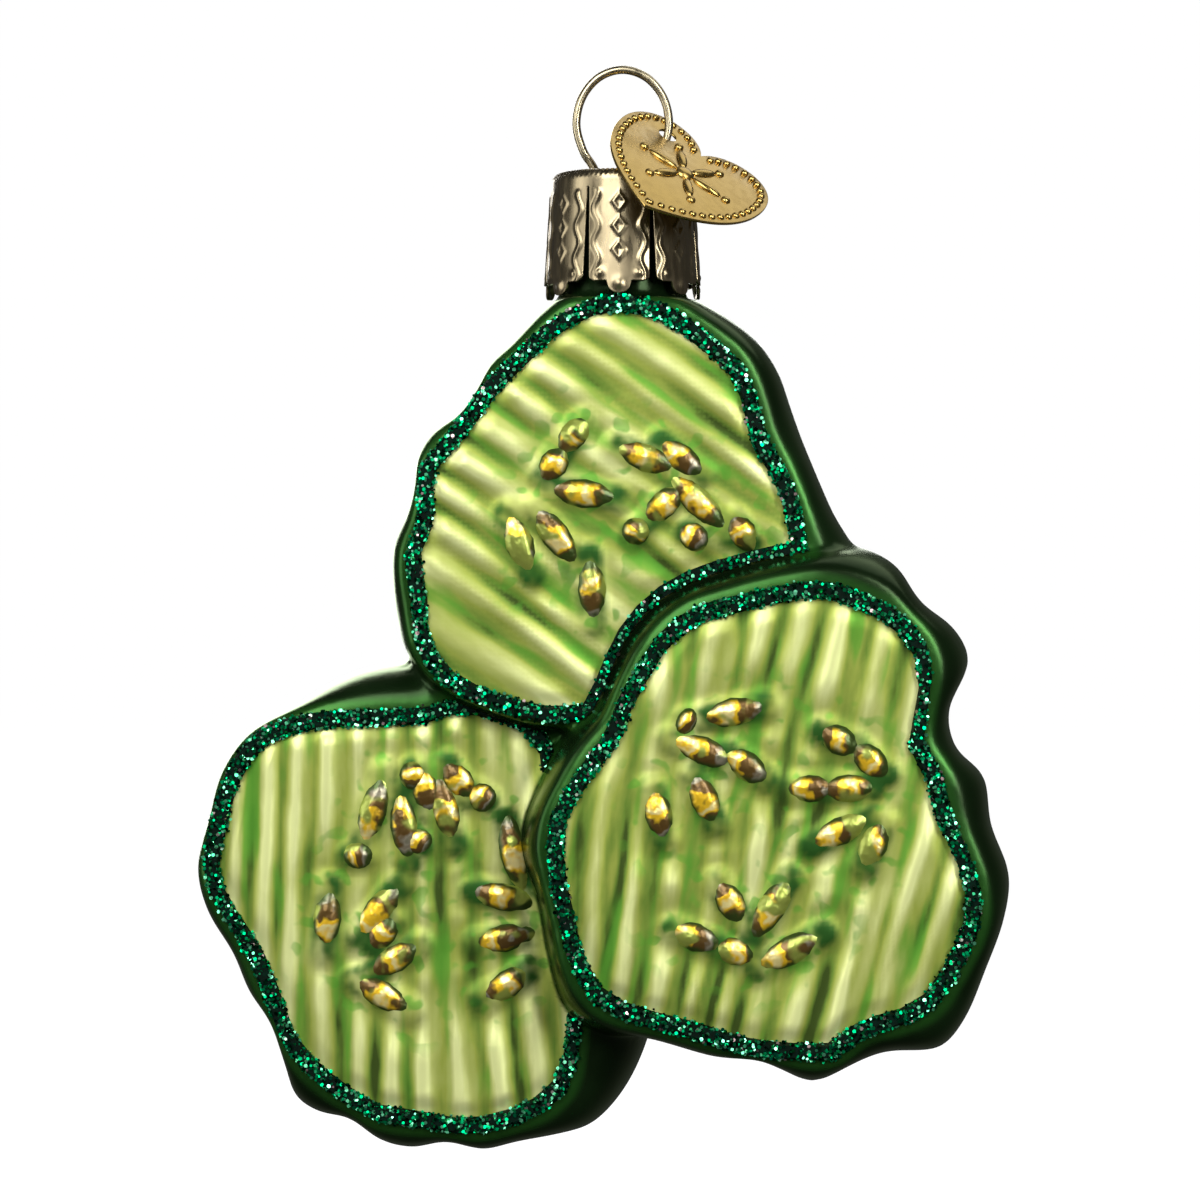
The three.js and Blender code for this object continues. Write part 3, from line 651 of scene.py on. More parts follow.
def shape_faces(glass, made):
    """Raises the ridges on the faces, and writes what the paint follows."""
    mesh = made.data
    count = len(mesh.vertices)
    places = np.zeros(count * 3)
    mesh.vertices.foreach_get("co", places)
    places = places.reshape(-1, 3)
    values = {name: np.zeros(count) for name in ("face", "crest", "seed", "core", "glow")}
    ridges = np.zeros((count, 3))
    lift = np.zeros(count)
    for number, piece in enumerate(SLICES.values()):
        for side in SIDES.values():
            near, band = glow_band(glass, piece, side, places)
            values["glow"][near] = np.maximum(values["glow"][near], band)
            away = np.abs(places[:, 1] - face_height(glass, piece, side))
            chosen = np.nonzero(away < glass.wall / 2)[0]
            rise, paint, ridge = face_pattern(glass, piece, number, side, places[chosen][:, (0, 2)])
            lift[chosen] = side * rise
            ridges[chosen] = ridge
            for name, value in paint.items():
                values[name][chosen] = value
    places[:, 1] += lift
    mesh.vertices.foreach_set("co", places.ravel())
    for name, value in values.items():
        mesh.attributes.new(name, "FLOAT", "POINT").data.foreach_set("value", value.astype(np.float32))
    ridge_attribute = mesh.attributes.new("ridge", "FLOAT_VECTOR", "POINT")
    ridge_attribute.data.foreach_set("vector", ridges.astype(np.float32).ravel())
    mesh.update()


# A Mix node's colour sockets go by number, because its sockets for plain numbers have the same names
MIX_LOW = 6
MIX_HIGH = 7
MIX_RESULT = 2
# The lacquer's roughness, polished on the walls and duller on the painted faces
WALL_ROUGHNESS = 0.27
FACE_ROUGHNESS = 0.46
# Noises that break up the ridges' paint: scale across and along, detail and amount
PAINT_NOISES = (
    ((0.6, 0.10, 1.0), 2.0, 0.6),
    ((0.5, 0.18, 1.0), 3.0, 0.55),
    ((0.12, 0.08, 1.0), 1.0, 0.9),
)


def add_node(tree, kind, links=(), **settings):
    """Adds a shader node, sets its own settings or its inputs, and links its inputs."""
    made = tree.nodes.new(kind)
    for name, value in settings.items():
        if hasattr(made, name):
            setattr(made, name, value)
        else:
            made.inputs[name.replace("_", " ")].default_value = value
    for name, source in dict(links).items():
        tree.links.new(source, made.inputs[name])
    return made


def blank_material(name, **inputs):
    """A material whose Principled shader has these constants on its own sockets."""
    made = bpy.data.materials.new(name)
    made.use_nodes = True
    shader = made.node_tree.nodes["Principled BSDF"]
    for key, value in inputs.items():
        shader.inputs[key.replace("_", " ")].default_value = value
    return made, made.node_tree, shader


def attribute(tree, name, output="Fac"):
    """What the mesh holds under a name."""
    return add_node(tree, "ShaderNodeAttribute", attribute_name=name).outputs[output]


def place_on_piece(tree):
    """Where a point of the surface lies, in metres."""
    return add_node(tree, "ShaderNodeTexCoord").outputs["Object"]


def mixed(tree, factor, low, high):
    """A colour mix whose ends are colours or sockets."""
    made = add_node(tree, "ShaderNodeMix", {"Factor": factor}, data_type="RGBA")
    for socket, value in ((made.inputs[MIX_LOW], low), (made.inputs[MIX_HIGH], high)):
        if isinstance(value, bpy.types.NodeSocket):
            tree.links.new(value, socket)
        else:
            socket.default_value = (*value, 1)
    return made.outputs[MIX_RESULT]


def colour_ramp(tree, factor, stops):
    """A smooth ramp through (place, colour) stops."""
    made = add_node(tree, "ShaderNodeValToRGB", {"Fac": factor})
    ramp = made.color_ramp
    while len(ramp.elements) < len(stops):
        ramp.elements.new(0.5)
    for element, (place, colour) in zip(ramp.elements, stops):
        element.position = place
        element.color = (*colour, 1)
    return made.outputs[0]


def maths(tree, operation, a, b):
    """A sum, difference or product of numbers or sockets."""
    made = add_node(tree, "ShaderNodeMath", operation=operation)
    for socket, value in zip(made.inputs, (a, b)):
        if isinstance(value, bpy.types.NodeSocket):
            tree.links.new(value, socket)
        else:
            socket.default_value = value
    return made.outputs[0]


def swayed(tree, value, noise_value, amount):
    """A value moved up and down by noise."""
    sway = maths(tree, "MULTIPLY", maths(tree, "SUBTRACT", noise_value, 0.5), amount)
    return maths(tree, "ADD", value, sway)


def remap(tree, value, low, high, to_low=0.0, to_high=1.0):
    """A value from low to high moved smoothly to one from to_low to to_high, and held past its ends."""
    made = add_node(
        tree,
        "ShaderNodeMapRange",
        {"Value": value},
        interpolation_type="SMOOTHSTEP",
        From_Min=low,
        From_Max=high,
        To_Min=to_low,
        To_Max=to_high,
    )
    return made.outputs[0]


def noise_over(tree, vector, size=1.0, detail=2.0, scale=(1, 1, 1)):
    """Noise over a vector that is scaled along each axis first."""
    mapping = add_node(tree, "ShaderNodeMapping", {"Vector": vector}, Scale=scale)
    made = add_node(tree, "ShaderNodeTexNoise", {"Vector": mapping.outputs[0]}, Scale=size, Detail=detail)
    return made.outputs[0]


def add_bump(tree, shader, height, strength, distance):
    """Makes a surface look uneven by a height that varies over it."""
    bump = add_node(tree, "ShaderNodeBump", {"Height": height}, Strength=strength, Distance=distance)
    tree.links.new(bump.outputs[0], shader.inputs["Normal"])


def face_paint(tree, glass, place):
    """Pale crests with a painted highlight, olive valleys and dark lines with painted shade, bright green
    streaks and drops, and painted shade in the creases round the seeds.
    """
    ridge = attribute(tree, "ridge", "Vector")
    core = attribute(tree, "core")
    height = attribute(tree, "crest")
    for scale, detail, amount in PAINT_NOISES:
        height = swayed(tree, height, noise_over(tree, ridge, detail=detail, scale=scale), amount)
    height = maths(tree, "SUBTRACT", height, maths(tree, "MULTIPLY", core, 0.12))
    # The ramp paints the ridges' own pale and olive stripes together with painted light: a highlight on the
    # crests and shade in the valleys' dark lines
    paint = colour_ramp(tree, height, (
        (0.0, glass.line_colour),
        (0.14, glass.valley_colour),
        (0.38, glass.flesh_colour),
        (0.66, glass.slope_colour),
        (0.95, glass.crest_colour),
    ))
    streaks = remap(tree, noise_over(tree, ridge, scale=(0.45, 0.08, 1.0)), 0.5, 0.64)
    streaks = maths(tree, "MULTIPLY", streaks, remap(tree, height, 0.75, 0.3))
    paint = mixed(tree, maths(tree, "MULTIPLY", streaks, 0.75), paint, glass.streak_colour)
    drops = remap(tree, noise_over(tree, ridge, detail=1.0, scale=(0.55, 0.55, 1.0)), 0.56, 0.66)
    drops = maths(tree, "MULTIPLY", drops, maths(tree, "MULTIPLY", core, 0.7))
    paint = mixed(tree, drops, paint, glass.streak_colour)
    patches = remap(tree, noise_over(tree, place, size=300.0), 0.35, 0.6)
    # Painted shade: dark green, in patches, in the creases round the seeds
    creases = maths(tree, "MULTIPLY", attribute(tree, "seed"), patches)
    return mixed(tree, creases, paint, glass.shadow_colour)


def wall_paint(tree, glass, place):
    """Cloudy dark lacquer, with a band of painted highlight beside the faces."""
    clouds = noise_over(tree, place, size=140.0)
    darker = [channel * 0.55 for channel in glass.wall_colour]
    wall = mixed(tree, remap(tree, clouds, 0.35, 0.7), darker, glass.wall_colour)
    # A band of painted highlight on the walls beside the faces, broken up by the clouds
    glow = swayed(tree, attribute(tree, "glow"), clouds, 0.8)
    return mixed(tree, remap(tree, glow, 0.1, 1.1), wall, glass.glow_colour)


def glass_material(glass):
    """Silvered glass under green lacquer, with painted faces and dark walls."""
    made, tree, shader = blank_material(
        "lacquered_glass", Metallic=0.55, Specular_IOR_Level=0.3, Specular_Tint=(0.8, 1.0, 0.6, 1)
    )
    face = attribute(tree, "face")
    place = place_on_piece(tree)
    colour = mixed(tree, face, wall_paint(tree, glass, place), face_paint(tree, glass, place))
    tree.links.new(colour, shader.inputs["Base Color"])
    tree.links.new(remap(tree, face, 0.0, 1.0, WALL_ROUGHNESS, FACE_ROUGHNESS), shader.inputs["Roughness"])
    add_bump(tree, shader, noise_over(tree, place, size=420.0), strength=0.15, distance=0.3 * MM)
    return made


def seed_material(glass):
    """Gold paint over silver: a pale patch of painted highlight, gold, brown ends that are partly painted
    shade, grey ends, a dark base of painted shade, and spots under green lacquer.
    """
    made, tree, shader = blank_material("seed_gold", Metallic=0.6, Roughness=0.33, Coat_Weight=0.1)
    place = place_on_piece(tree)
    shade = swayed(tree, attribute(tree, "along"), noise_over(tree, place, size=600.0), 1.2)
    shade = maths(tree, "ADD", shade, maths(tree, "MULTIPLY", attribute(tree, "tone"), 0.3))
    # Along each seed: dark lines of painted shade at the ends, brown ends that are partly painted shade,
    # gold, a pale patch of painted highlight, and grey at one end
    colour = colour_ramp(tree, remap(tree, shade, -1.15, 1.25), (
        (0.14, glass.line_colour),
        (0.22, glass.seed_shade),
        (0.29, glass.seed_colour),
        (0.37, glass.seed_light),
        (0.41, glass.seed_light),
        (0.47, glass.seed_colour),
        (0.54, glass.seed_colour),
        (0.60, glass.seed_shade),
        (0.78, glass.seed_shade),
        (0.84, glass.seed_grey),
        (0.92, glass.line_colour),
    ))
    height = swayed(tree, attribute(tree, "height"), noise_over(tree, place, size=500.0), 0.4)
    # Low on the seed, near the face, the colour darkens to the dark line colour: painted shade where the seed
    # meets the face
    colour = mixed(tree, remap(tree, height, 0.66, 0.88), glass.line_colour, colour)
    lacquer = remap(tree, noise_over(tree, place, size=420.0, detail=1.0), 0.55, 0.63)
    colour = mixed(tree, lacquer, colour, glass.flesh_colour)
    tree.links.new(colour, shader.inputs["Base Color"])
    add_bump(tree, shader, noise_over(tree, place, size=900.0), strength=0.6, distance=0.3 * MM)
    return made


# Seeds up to this length in millimetres, before the stretch, are round drops; longer ones are pointed
LONGEST_DROP = 2.7
# The least and most of what is drawn for each seed: its tone, and how much its ends are pointed
SEED_TONES = (-0.6, 1.0)
SEED_POINTS = (0.25, 0.5)
TURNED_TONE = 0.2  # seeds of a lower tone lie the other way round


def seeds_mesh(glass):
    """The almond seeds and round drops on every face, half sunk in it."""
    bm = bmesh.new()
    along_layer = bm.verts.layers.float.new("along")
    height_layer = bm.verts.layers.float.new("height")
    tone_layer = bm.verts.layers.float.new("tone")
    chance = random.Random(SEEDS_CHANCE)
    deep = glass.seed_rise + glass.seed_sink
    for piece in SLICES.values():
        for side in SIDES.values():
            middle = face_middle(glass, piece, side)
            for u, v, length, angle in piece["seeds"]:
                tone = chance.uniform(*SEED_TONES)
                pointed = chance.uniform(*SEED_POINTS) if length > LONGEST_DROP else 0.0
                verts = bmesh.ops.create_uvsphere(bm, u_segments=16, v_segments=10, radius=1)["verts"]
                bmesh.ops.rotate(bm, verts=verts, matrix=Matrix.Rotation(math.pi / 2, 3, "Y"))
                for vert in verts:
                    vert[along_layer] = vert.co.x * (1 if tone > TURNED_TONE else -1)
                    vert[height_layer] = vert.co.y * side
                    vert[tone_layer] = tone
                    narrowed = 1 - pointed * vert.co.x**2
                    vert.co.y *= narrowed
                    vert.co.z *= narrowed
                size = (length * glass.seed_stretch * MM / 2, deep, glass.seed_width / 2)
                bmesh.ops.scale(bm, verts=verts, vec=size)
                turn = Matrix.Rotation(-math.radians(angle), 3, "Y")
                bmesh.ops.rotate(bm, verts=verts, matrix=turn)
                place = (middle.x + u * MM, middle.y - side * glass.seed_sink, middle.z + v * MM)
                bmesh.ops.translate(bm, verts=verts, vec=place)
    return mesh_of(bm, "seeds")


class ORNAMENT_OT_glass(bpy.types.Operator):
    """Blow the three slices and their neck as one hollow body, with ridges, seeds and paint"""

    bl_idname = "ornament.glass"
    bl_label = "Glass"

    def execute(self, context):
        glass = context.scene.ornament_glass
        made = glass_shell(glass)
        shape_faces(glass, made)
        finish_piece(made, "glass", glass_material(glass))
        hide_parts("glass_body")
        seeds = link_object("seeds", seeds_mesh(glass))
        finish_piece(seeds, "glass", seed_material(glass))
        return {"FINISHED"}


class GlitterSettings(bpy.types.PropertyGroup):
    """Sizes and colours of the glitter lines."""

    density: bpy.props.FloatProperty(
        name="Density", description="Flakes to a square millimetre", default=13.0
    )
    flake_radius: bpy.props.FloatProperty(
        name="Flake radius", description="Radius of a flake", default=0.15 * MM, unit="LENGTH"
    )
    flake_sheet: bpy.props.FloatProperty(
        name="Flake sheet", description="Thickness of a flake", default=0.04 * MM, unit="LENGTH"
    )
    tilt: bpy.props.FloatProperty(
        name="Tilt", description="How far a flake leans", default=math.radians(30), subtype="ANGLE"
    )
    glue_colour: bpy.props.FloatVectorProperty(
        name="Glue", description="Colour of the glue between the flakes", default=(0.001, 0.006, 0.003),
        subtype="COLOR",
    )
    dark_colour: bpy.props.FloatVectorProperty(
        name="Dark flakes", description="Colour of the darkest flakes", default=(0.0, 0.012, 0.006),
        subtype="COLOR",
    )
    flake_colour: bpy.props.FloatVectorProperty(
        name="Flakes", description="Colour of most flakes", default=(0.0, 0.36, 0.12), subtype="COLOR"
    )
    # A painted glint: the colour of the brightest flakes
    spark_colour: bpy.props.FloatVectorProperty(
        name="Sparks", description="Colour of the brightest flakes", default=(0.25, 0.95, 0.55),
        subtype="COLOR",
    )
    odd_colour: bpy.props.FloatVectorProperty(
        name="Odd flakes", description="Colour of a few pinkish grey ones", default=(0.42, 0.30, 0.30),
        subtype="COLOR",
    )
    spill: bpy.props.FloatProperty(
        name="Spill", description="How far flakes stray from the line", default=0.16 * MM, unit="LENGTH"
    )


FACING = 0.3  # the least share of a triangle's normal that points out of its slice, for flakes to lie there
# How the flakes are strewn: how far they scatter, in spills, and the least and most of their height over the
# line and of their size, in flake radii
FLAKE_SCATTER = 0.5
FLAKE_HEIGHTS = (-0.2, 1.2)
FLAKE_SIZES = (0.7, 1.2)


def glue_material(glitter):
    """Dark cloudy glue."""
    made, tree, shader = blank_material("glitter_glue", Roughness=0.6, Specular_IOR_Level=0.06)
    cloud = noise_over(tree, place_on_piece(tree), size=2200.0)
    colour = mixed(tree, remap(tree, cloud, 0.4, 0.7), glitter.glue_colour, glitter.dark_colour)
    tree.links.new(colour, shader.inputs["Base Color"])
    return made


def flake_material(glitter):
    """Metallic flakes, each of one colour: dark, green, bright ones with a painted glint, or now and then an
    odd one.
    """
    made, tree, shader = blank_material(
        "glitter_flakes", Metallic=1.0, Roughness=0.3, Specular_Tint=(0.1, 1.0, 0.5, 1)
    )
    tone = attribute(tree, "tone")
    colour = mixed(tree, remap(tree, tone, 0.22, 0.42), glitter.dark_colour, glitter.flake_colour)
    colour = mixed(tree, remap(tree, tone, 0.68, 0.88), colour, glitter.spark_colour)
    colour = mixed(tree, remap(tree, tone, 0.965, 0.975), colour, glitter.odd_colour)
    tree.links.new(colour, shader.inputs["Base Color"])
    return made


def facing_triangles(node, side):
    """Corners and areas of a glitter line's triangles that face out of its slice."""
    node.data.calc_loop_triangles()
    corners = []
    areas = []
    for triangle in node.data.loop_triangles:
        if triangle.normal.y * side > FACING:
            corners.append([node.data.vertices[i].co.copy() for i in triangle.vertices])
            areas.append(triangle.area)
    return corners, areas


def flakes_mesh(glitter, node, side, chance):
    """Thin six-sided flakes strewn over a glitter line, each with its own lean and tone."""
    flake = bmesh.new()
    flake.verts.layers.float.new("tone")
    bmesh.ops.create_cone(flake, cap_ends=True, segments=6, radius1=1, radius2=1, depth=1)
    corners, areas = facing_triangles(node, side)
    count = int(sum(areas) / MM**2 * glitter.density)
    carrier = bpy.data.meshes.new("flake")
    strewn = bmesh.new()
    upright = Matrix.Rotation(-side * math.pi / 2, 4, "X")
    for a, b, c in chance.choices(corners, weights=areas, k=count):
        share = sorted((chance.random(), chance.random()))
        place = a * share[0] + b * (share[1] - share[0]) + c * (1 - share[1])
        scatter = Vector((chance.gauss(0, FLAKE_SCATTER), 0, chance.gauss(0, FLAKE_SCATTER)))
        place += scatter * glitter.spill
        place.y += side * chance.uniform(*FLAKE_HEIGHTS) * glitter.flake_radius
        radius = glitter.flake_radius * chance.uniform(*FLAKE_SIZES)
        lean = Matrix.Rotation(chance.gauss(0, 1) * glitter.tilt, 4, "X")
        spin = Matrix.Rotation(chance.uniform(0, 2 * math.pi), 4, "Z")
        size = Matrix.Diagonal((radius, radius, glitter.flake_sheet, 1))
        one = flake.copy()
        tone_layer = one.verts.layers.float["tone"]
        tone = chance.random()
        for vert in one.verts:
            vert[tone_layer] = tone
        one.transform(Matrix.Translation(place) @ upright @ spin @ lean @ size)
        one.to_mesh(carrier)
        one.free()
        strewn.from_mesh(carrier)
    flake.free()
    bpy.data.meshes.remove(carrier)
    return mesh_of(strewn, node.name.replace("line", "flakes"))


class ORNAMENT_OT_glitter(bpy.types.Operator):
    """Strew flakes over the glitter lines, which stay as the glue between them"""

    bl_idname = "ornament.glitter"
    bl_label = "Glitter"

    def execute(self, context):
        glitter = context.scene.ornament_glitter
        glue = glue_material(glitter)
        flakes = flake_material(glitter)
        chance = random.Random(GLITTER_CHANCE)
        for side_name, side in SIDES.items():
            for slice_name in SLICES:
                node = frame["nodes"][f"glitter_line_{side_name}_{slice_name}"]
                node.data.materials.clear()
                node.data.materials.append(glue)
                mesh = flakes_mesh(glitter, node, side, chance)
                made = link_object(mesh.name, mesh)
                finish_piece(made, "glass", flakes)
                made.data.shade_flat()
        return {"FINISHED"}


class CapSettings(bpy.types.PropertyGroup):
    """Sizes and colour of the petal cap."""

    height: bpy.props.FloatProperty(
        name="Height", description="From the crown to the lobes' tips", default=11.0 * MM, unit="LENGTH"
    )
    crown_radius: bpy.props.FloatProperty(
        name="Crown radius", description="Outside, at the shoulder", default=6.3 * MM, unit="LENGTH"
    )
    skirt_radius: bpy.props.FloatProperty(
        name="Skirt radius", description="Outside, at the petals' tips", default=6.9 * MM, unit="LENGTH"
    )
    hole_radius: bpy.props.FloatProperty(
        name="Hole radius", description="Hole in the crown for the wire", default=3.35 * MM, unit="LENGTH"
    )
    shoulder: bpy.props.FloatProperty(
        name="Shoulder", description="Radius of the rounded shoulder", default=1.0 * MM, unit="LENGTH"
    )
    sheet: bpy.props.FloatProperty(
        name="Sheet", description="Thickness of the metal", default=0.3 * MM, unit="LENGTH"
    )
    petals: bpy.props.IntProperty(name="Petals", description="How many petals", default=7)
    turn: bpy.props.FloatProperty(
        name="Turn", description="Where the middle front petal points", default=math.radians(-3),
        subtype="ANGLE",
    )
    slit_drop: bpy.props.FloatProperty(
        name="Slit drop", description="Top of the slits below the crown", default=1.6 * MM, unit="LENGTH"
    )
    slit_width: bpy.props.FloatProperty(
        name="Slit width", description="Width of a slit at the petals' ends", default=0.65 * MM, unit="LENGTH"
    )
    slit_top_width: bpy.props.FloatProperty(
        name="Slit top width", description="Width of a slit at its top", default=0.2 * MM, unit="LENGTH"
    )
    lobe_width: bpy.props.FloatProperty(
        name="Lobe width", description="Width of the lobe at a petal's tip", default=1.9 * MM, unit="LENGTH"
    )
    lobe_height: bpy.props.FloatProperty(
        name="Lobe height", description="Length of the lobe", default=1.1 * MM, unit="LENGTH"
    )
    relief: bpy.props.FloatProperty(
        name="Relief", description="Height of the embossing", default=0.13 * MM, unit="LENGTH"
    )
    knurls: bpy.props.IntProperty(
        name="Knurls", description="How many ribs go round the shoulder", default=84
    )
    colour: bpy.props.FloatVectorProperty(
        name="Metal", description="Champagne washed metal", default=(0.28, 0.23, 0.14), subtype="COLOR"
    )
    grime_colour: bpy.props.FloatVectorProperty(
        name="Grime", description="Darker wash in the hollows", default=(0.22, 0.17, 0.10), subtype="COLOR"
    )


# The stamping on a petal, in millimetres from its middle and down from the crown. A wavy line runs by each
# edge, from its top down. Lozenges are drawn by their outlines. Bosses are (across, down, width).
WAVE_TOP = 1.7
WAVE_FADE = 0.4
WAVE_LENGTH = 2.9
WAVE_SWING = 0.24
WAVE_INSET = 0.68
WAVE_WIDTH = 0.22
LOZENGE_DROPS = (3.0, 5.1, 7.2)
LOZENGE_ACROSS = 0.52
LOZENGE_DOWN = 0.7
LOZENGE_LINE = 0.2
BOSSES = ((0, 10.15, 0.45), (-1.75, 9.2, 0.36), (1.75, 9.2, 0.36))
# Heights of the stamping, against the relief of the wavy line
LOZENGE_HEIGHT = 0.65
BOSS_HEIGHT = 1.3
KNURL_HEIGHT = 0.8
# The knurls lean as they go over the shoulder, and end before the skirt, in radians of the shoulder's bend
KNURL_LEAN = 5.0
KNURL_END = 1.3
# The rounding of a petal's lower corners
CORNER_ACROSS = 0.6 * MM
CORNER_RISE = 0.45 * MM
# Each petal's grid, and how close its corners lie to the next petal's where the two are welded
PETAL_COLUMNS = 56
PETAL_ROWS = 120
WELD = 0.004 * MM


def bump_at(distance, width):
    """A rounded welt, 1 on its line and 0 past its width."""
    return math.exp(-((distance / width) ** 2))


def petal_relief(x, drop, half_width):
    """How high a petal is stamped at x across its middle and drop below the crown, in millimetres."""
    raised = 0.0
    if drop > WAVE_TOP:
        wave = WAVE_SWING * math.sin(2 * math.pi * drop / WAVE_LENGTH)
        fade = min(1, (drop - WAVE_TOP) / WAVE_FADE)
        raised = fade * bump_at(half_width - WAVE_INSET + wave - abs(x), WAVE_WIDTH)
    for middle in LOZENGE_DROPS:
        share = abs(x) / LOZENGE_ACROSS + abs(drop - middle) / LOZENGE_DOWN
        raised = max(raised, LOZENGE_HEIGHT * bump_at((share - 1) * 0.5, LOZENGE_LINE))
    for boss_x, boss_drop, width in BOSSES:
        raised = max(raised, BOSS_HEIGHT * bump_at(math.hypot(x - boss_x, drop - boss_drop), width))
    return raised


def cap_mesh(cap):
    """Crown and petals from one grid to each petal, welded where the slits end."""
    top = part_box("cap")[1].z
    spread = math.pi / cap.petals
    flat = cap.crown_radius - cap.shoulder - cap.hole_radius
    arc = cap.shoulder * math.pi / 2
    skirt_top = top - cap.shoulder
    lobe_tip = top - cap.height
    petal_end = lobe_tip + cap.lobe_height
    skirt = skirt_top - lobe_tip
    run = flat + arc + skirt

    def half_slit(z):
        """Half the width of the slit between two petals, which widens downwards."""
        below = top - cap.slit_drop - z
        if below <= 0:
            return 0.0
        share = below / (top - cap.slit_drop - petal_end)
        return (cap.slit_top_width + (cap.slit_width - cap.slit_top_width) * min(share, 1)) / 2

    def tip_height(x, half_width):
        """The petal's lower edge: rounded corners, a small step and a round lobe in the middle."""
        corner = max(0, abs(x) - (half_width - CORNER_ACROSS)) / CORNER_ACROSS
        edge = petal_end + CORNER_RISE * (1 - math.sqrt(max(0, 1 - corner**2)))
        lobe = abs(x) / (cap.lobe_width / 2)
        if lobe < 1:
            edge = min(edge, petal_end - cap.lobe_height * math.sqrt(1 - lobe**2.4))
        return edge

    bm = bmesh.new()
    for petal in range(cap.petals):
        turn = cap.turn + 2 * spread * petal
        grid = bmesh.ops.create_grid(bm, x_segments=PETAL_COLUMNS, y_segments=PETAL_ROWS, size=1)
        for vert in grid["verts"]:
            share = (1 - vert.co.y) / 2
            side = vert.co.x
            gone = share * run
            if gone <= flat:
                radius = cap.hole_radius + gone
                z = top
                out = 0.0
                half = spread
                lift = 0.0
            elif gone <= flat + arc:
                bend = (gone - flat) / cap.shoulder
                radius = cap.crown_radius - cap.shoulder * (1 - math.sin(bend))
                z = top - cap.shoulder * (1 - math.cos(bend))
                out = math.sin(bend)
                half = spread
                ribs = 0.5 + 0.5 * math.cos((side * spread + turn) * cap.knurls + KNURL_LEAN * bend)
                lift = KNURL_HEIGHT * ribs**2 * math.sin(min(1, bend / KNURL_END) * math.pi)
            else:
                share_down = (gone - flat - arc) / skirt
                z = skirt_top - share_down * skirt
                full = cap.crown_radius * spread - half_slit(z)
                z = skirt_top - share_down * (skirt_top - tip_height(side * full, full))
                radius = cap.crown_radius + (cap.skirt_radius - cap.crown_radius) * (skirt_top - z) / skirt
                half = spread - half_slit(z) / radius
                out = 1.0
                lift = petal_relief(side * half * radius / MM, (top - z) / MM, half * radius / MM)
            angle = turn + side * half
            radius += lift * cap.relief * out
            z += lift * cap.relief * (1 - out)
            vert.co = (radius * math.sin(angle), -radius * math.cos(angle), z)
    bmesh.ops.remove_doubles(bm, verts=bm.verts[:], dist=WELD)
    bmesh.ops.recalc_face_normals(bm, faces=bm.faces[:])
    return mesh_of(bm, "cap_stamping")


def metal_material(name, colour, grime, roughness, wear, unevenness):
    """Thin washed metal: cloudy wash, fine scratches and a slightly uneven sheen."""
    made, tree, shader = blank_material(name, Metallic=1.0)
    place = place_on_piece(tree)
    cloud = noise_over(tree, place, size=260.0, detail=4.0)
    grain = noise_over(tree, place, size=1500.0, detail=3.0, scale=(1, 1, 0.2))
    shade = maths(tree, "MULTIPLY", remap(tree, cloud, 0.5, 0.8), wear)
    tree.links.new(mixed(tree, shade, colour, grime), shader.inputs["Base Color"])
    sheen = remap(tree, grain, 0.3, 0.7, roughness * 0.75, roughness * 1.3)
    tree.links.new(sheen, shader.inputs["Roughness"])
    add_bump(tree, shader, grain, strength=unevenness, distance=0.05 * MM)
    return made


class ORNAMENT_OT_cap(bpy.types.Operator):
    """Stamp the cap, with its knurled shoulder, its petals and their relief"""

    bl_idname = "ornament.cap"
    bl_label = "Cap"

    def execute(self, context):
        cap = context.scene.ornament_cap
        made = link_object("cap_stamping", cap_mesh(cap))
        wall = made.modifiers.new("sheet", "SOLIDIFY")
        wall.thickness = cap.sheet
        wall.offset = -1
        baked(made)
        material = metal_material(
            "cap_metal", cap.colour, cap.grime_colour, roughness=0.28, wear=0.4, unevenness=0.06
        )
        finish_piece(made, "cap", material)
        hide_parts("cap")
        return {"FINISHED"}


class WireSettings(bpy.types.PropertyGroup):
    """Sizes and colour of the hanging loop."""

    diameter: bpy.props.FloatProperty(
        name="Diameter", description="Thickness of the wire", default=0.75 * MM, unit="LENGTH"
    )
    half_width: bpy.props.FloatProperty(
        name="Half width", description="Half the loop, to the wire's centre", default=4.1 * MM, unit="LENGTH"
    )
    widest_drop: bpy.props.FloatProperty(
        name="Widest drop", description="The loop's widest place below its inside top", default=4.4 * MM,
        unit="LENGTH",
    )
    flank_half_width: bpy.props.FloatProperty(
        name="Flank half width", description="Half the loop at the flanks", default=3.55 * MM, unit="LENGTH"
    )
    flank_drop: bpy.props.FloatProperty(
        name="Flank drop", description="The flanks below the inside top", default=6.7 * MM, unit="LENGTH"
    )
    leg_half_width: bpy.props.FloatProperty(
        name="Leg half width", description="Half the legs' spread at the crown", default=2.3 * MM,
        unit="LENGTH",
    )
    leg_end: bpy.props.FloatProperty(
        name="Leg end", description="Half the legs' spread at their ends", default=4.075 * MM, unit="LENGTH"
    )
    leg_length: bpy.props.FloatProperty(
        name="Leg length", description="Length of the legs under the crown", default=14.5 * MM, unit="LENGTH"
    )
    colour: bpy.props.FloatVectorProperty(
        name="Wire", description="Pale gold wash on steel", default=(0.43, 0.37, 0.24), subtype="COLOR"
    )
    grime_colour: bpy.props.FloatVectorProperty(
        name="Wire grime", description="Darker wash", default=(0.36, 0.28, 0.14), subtype="COLOR"
    )


CROWN_INSIDE = 0.175 * MM  # from the top of the crown down to where the legs pass through it


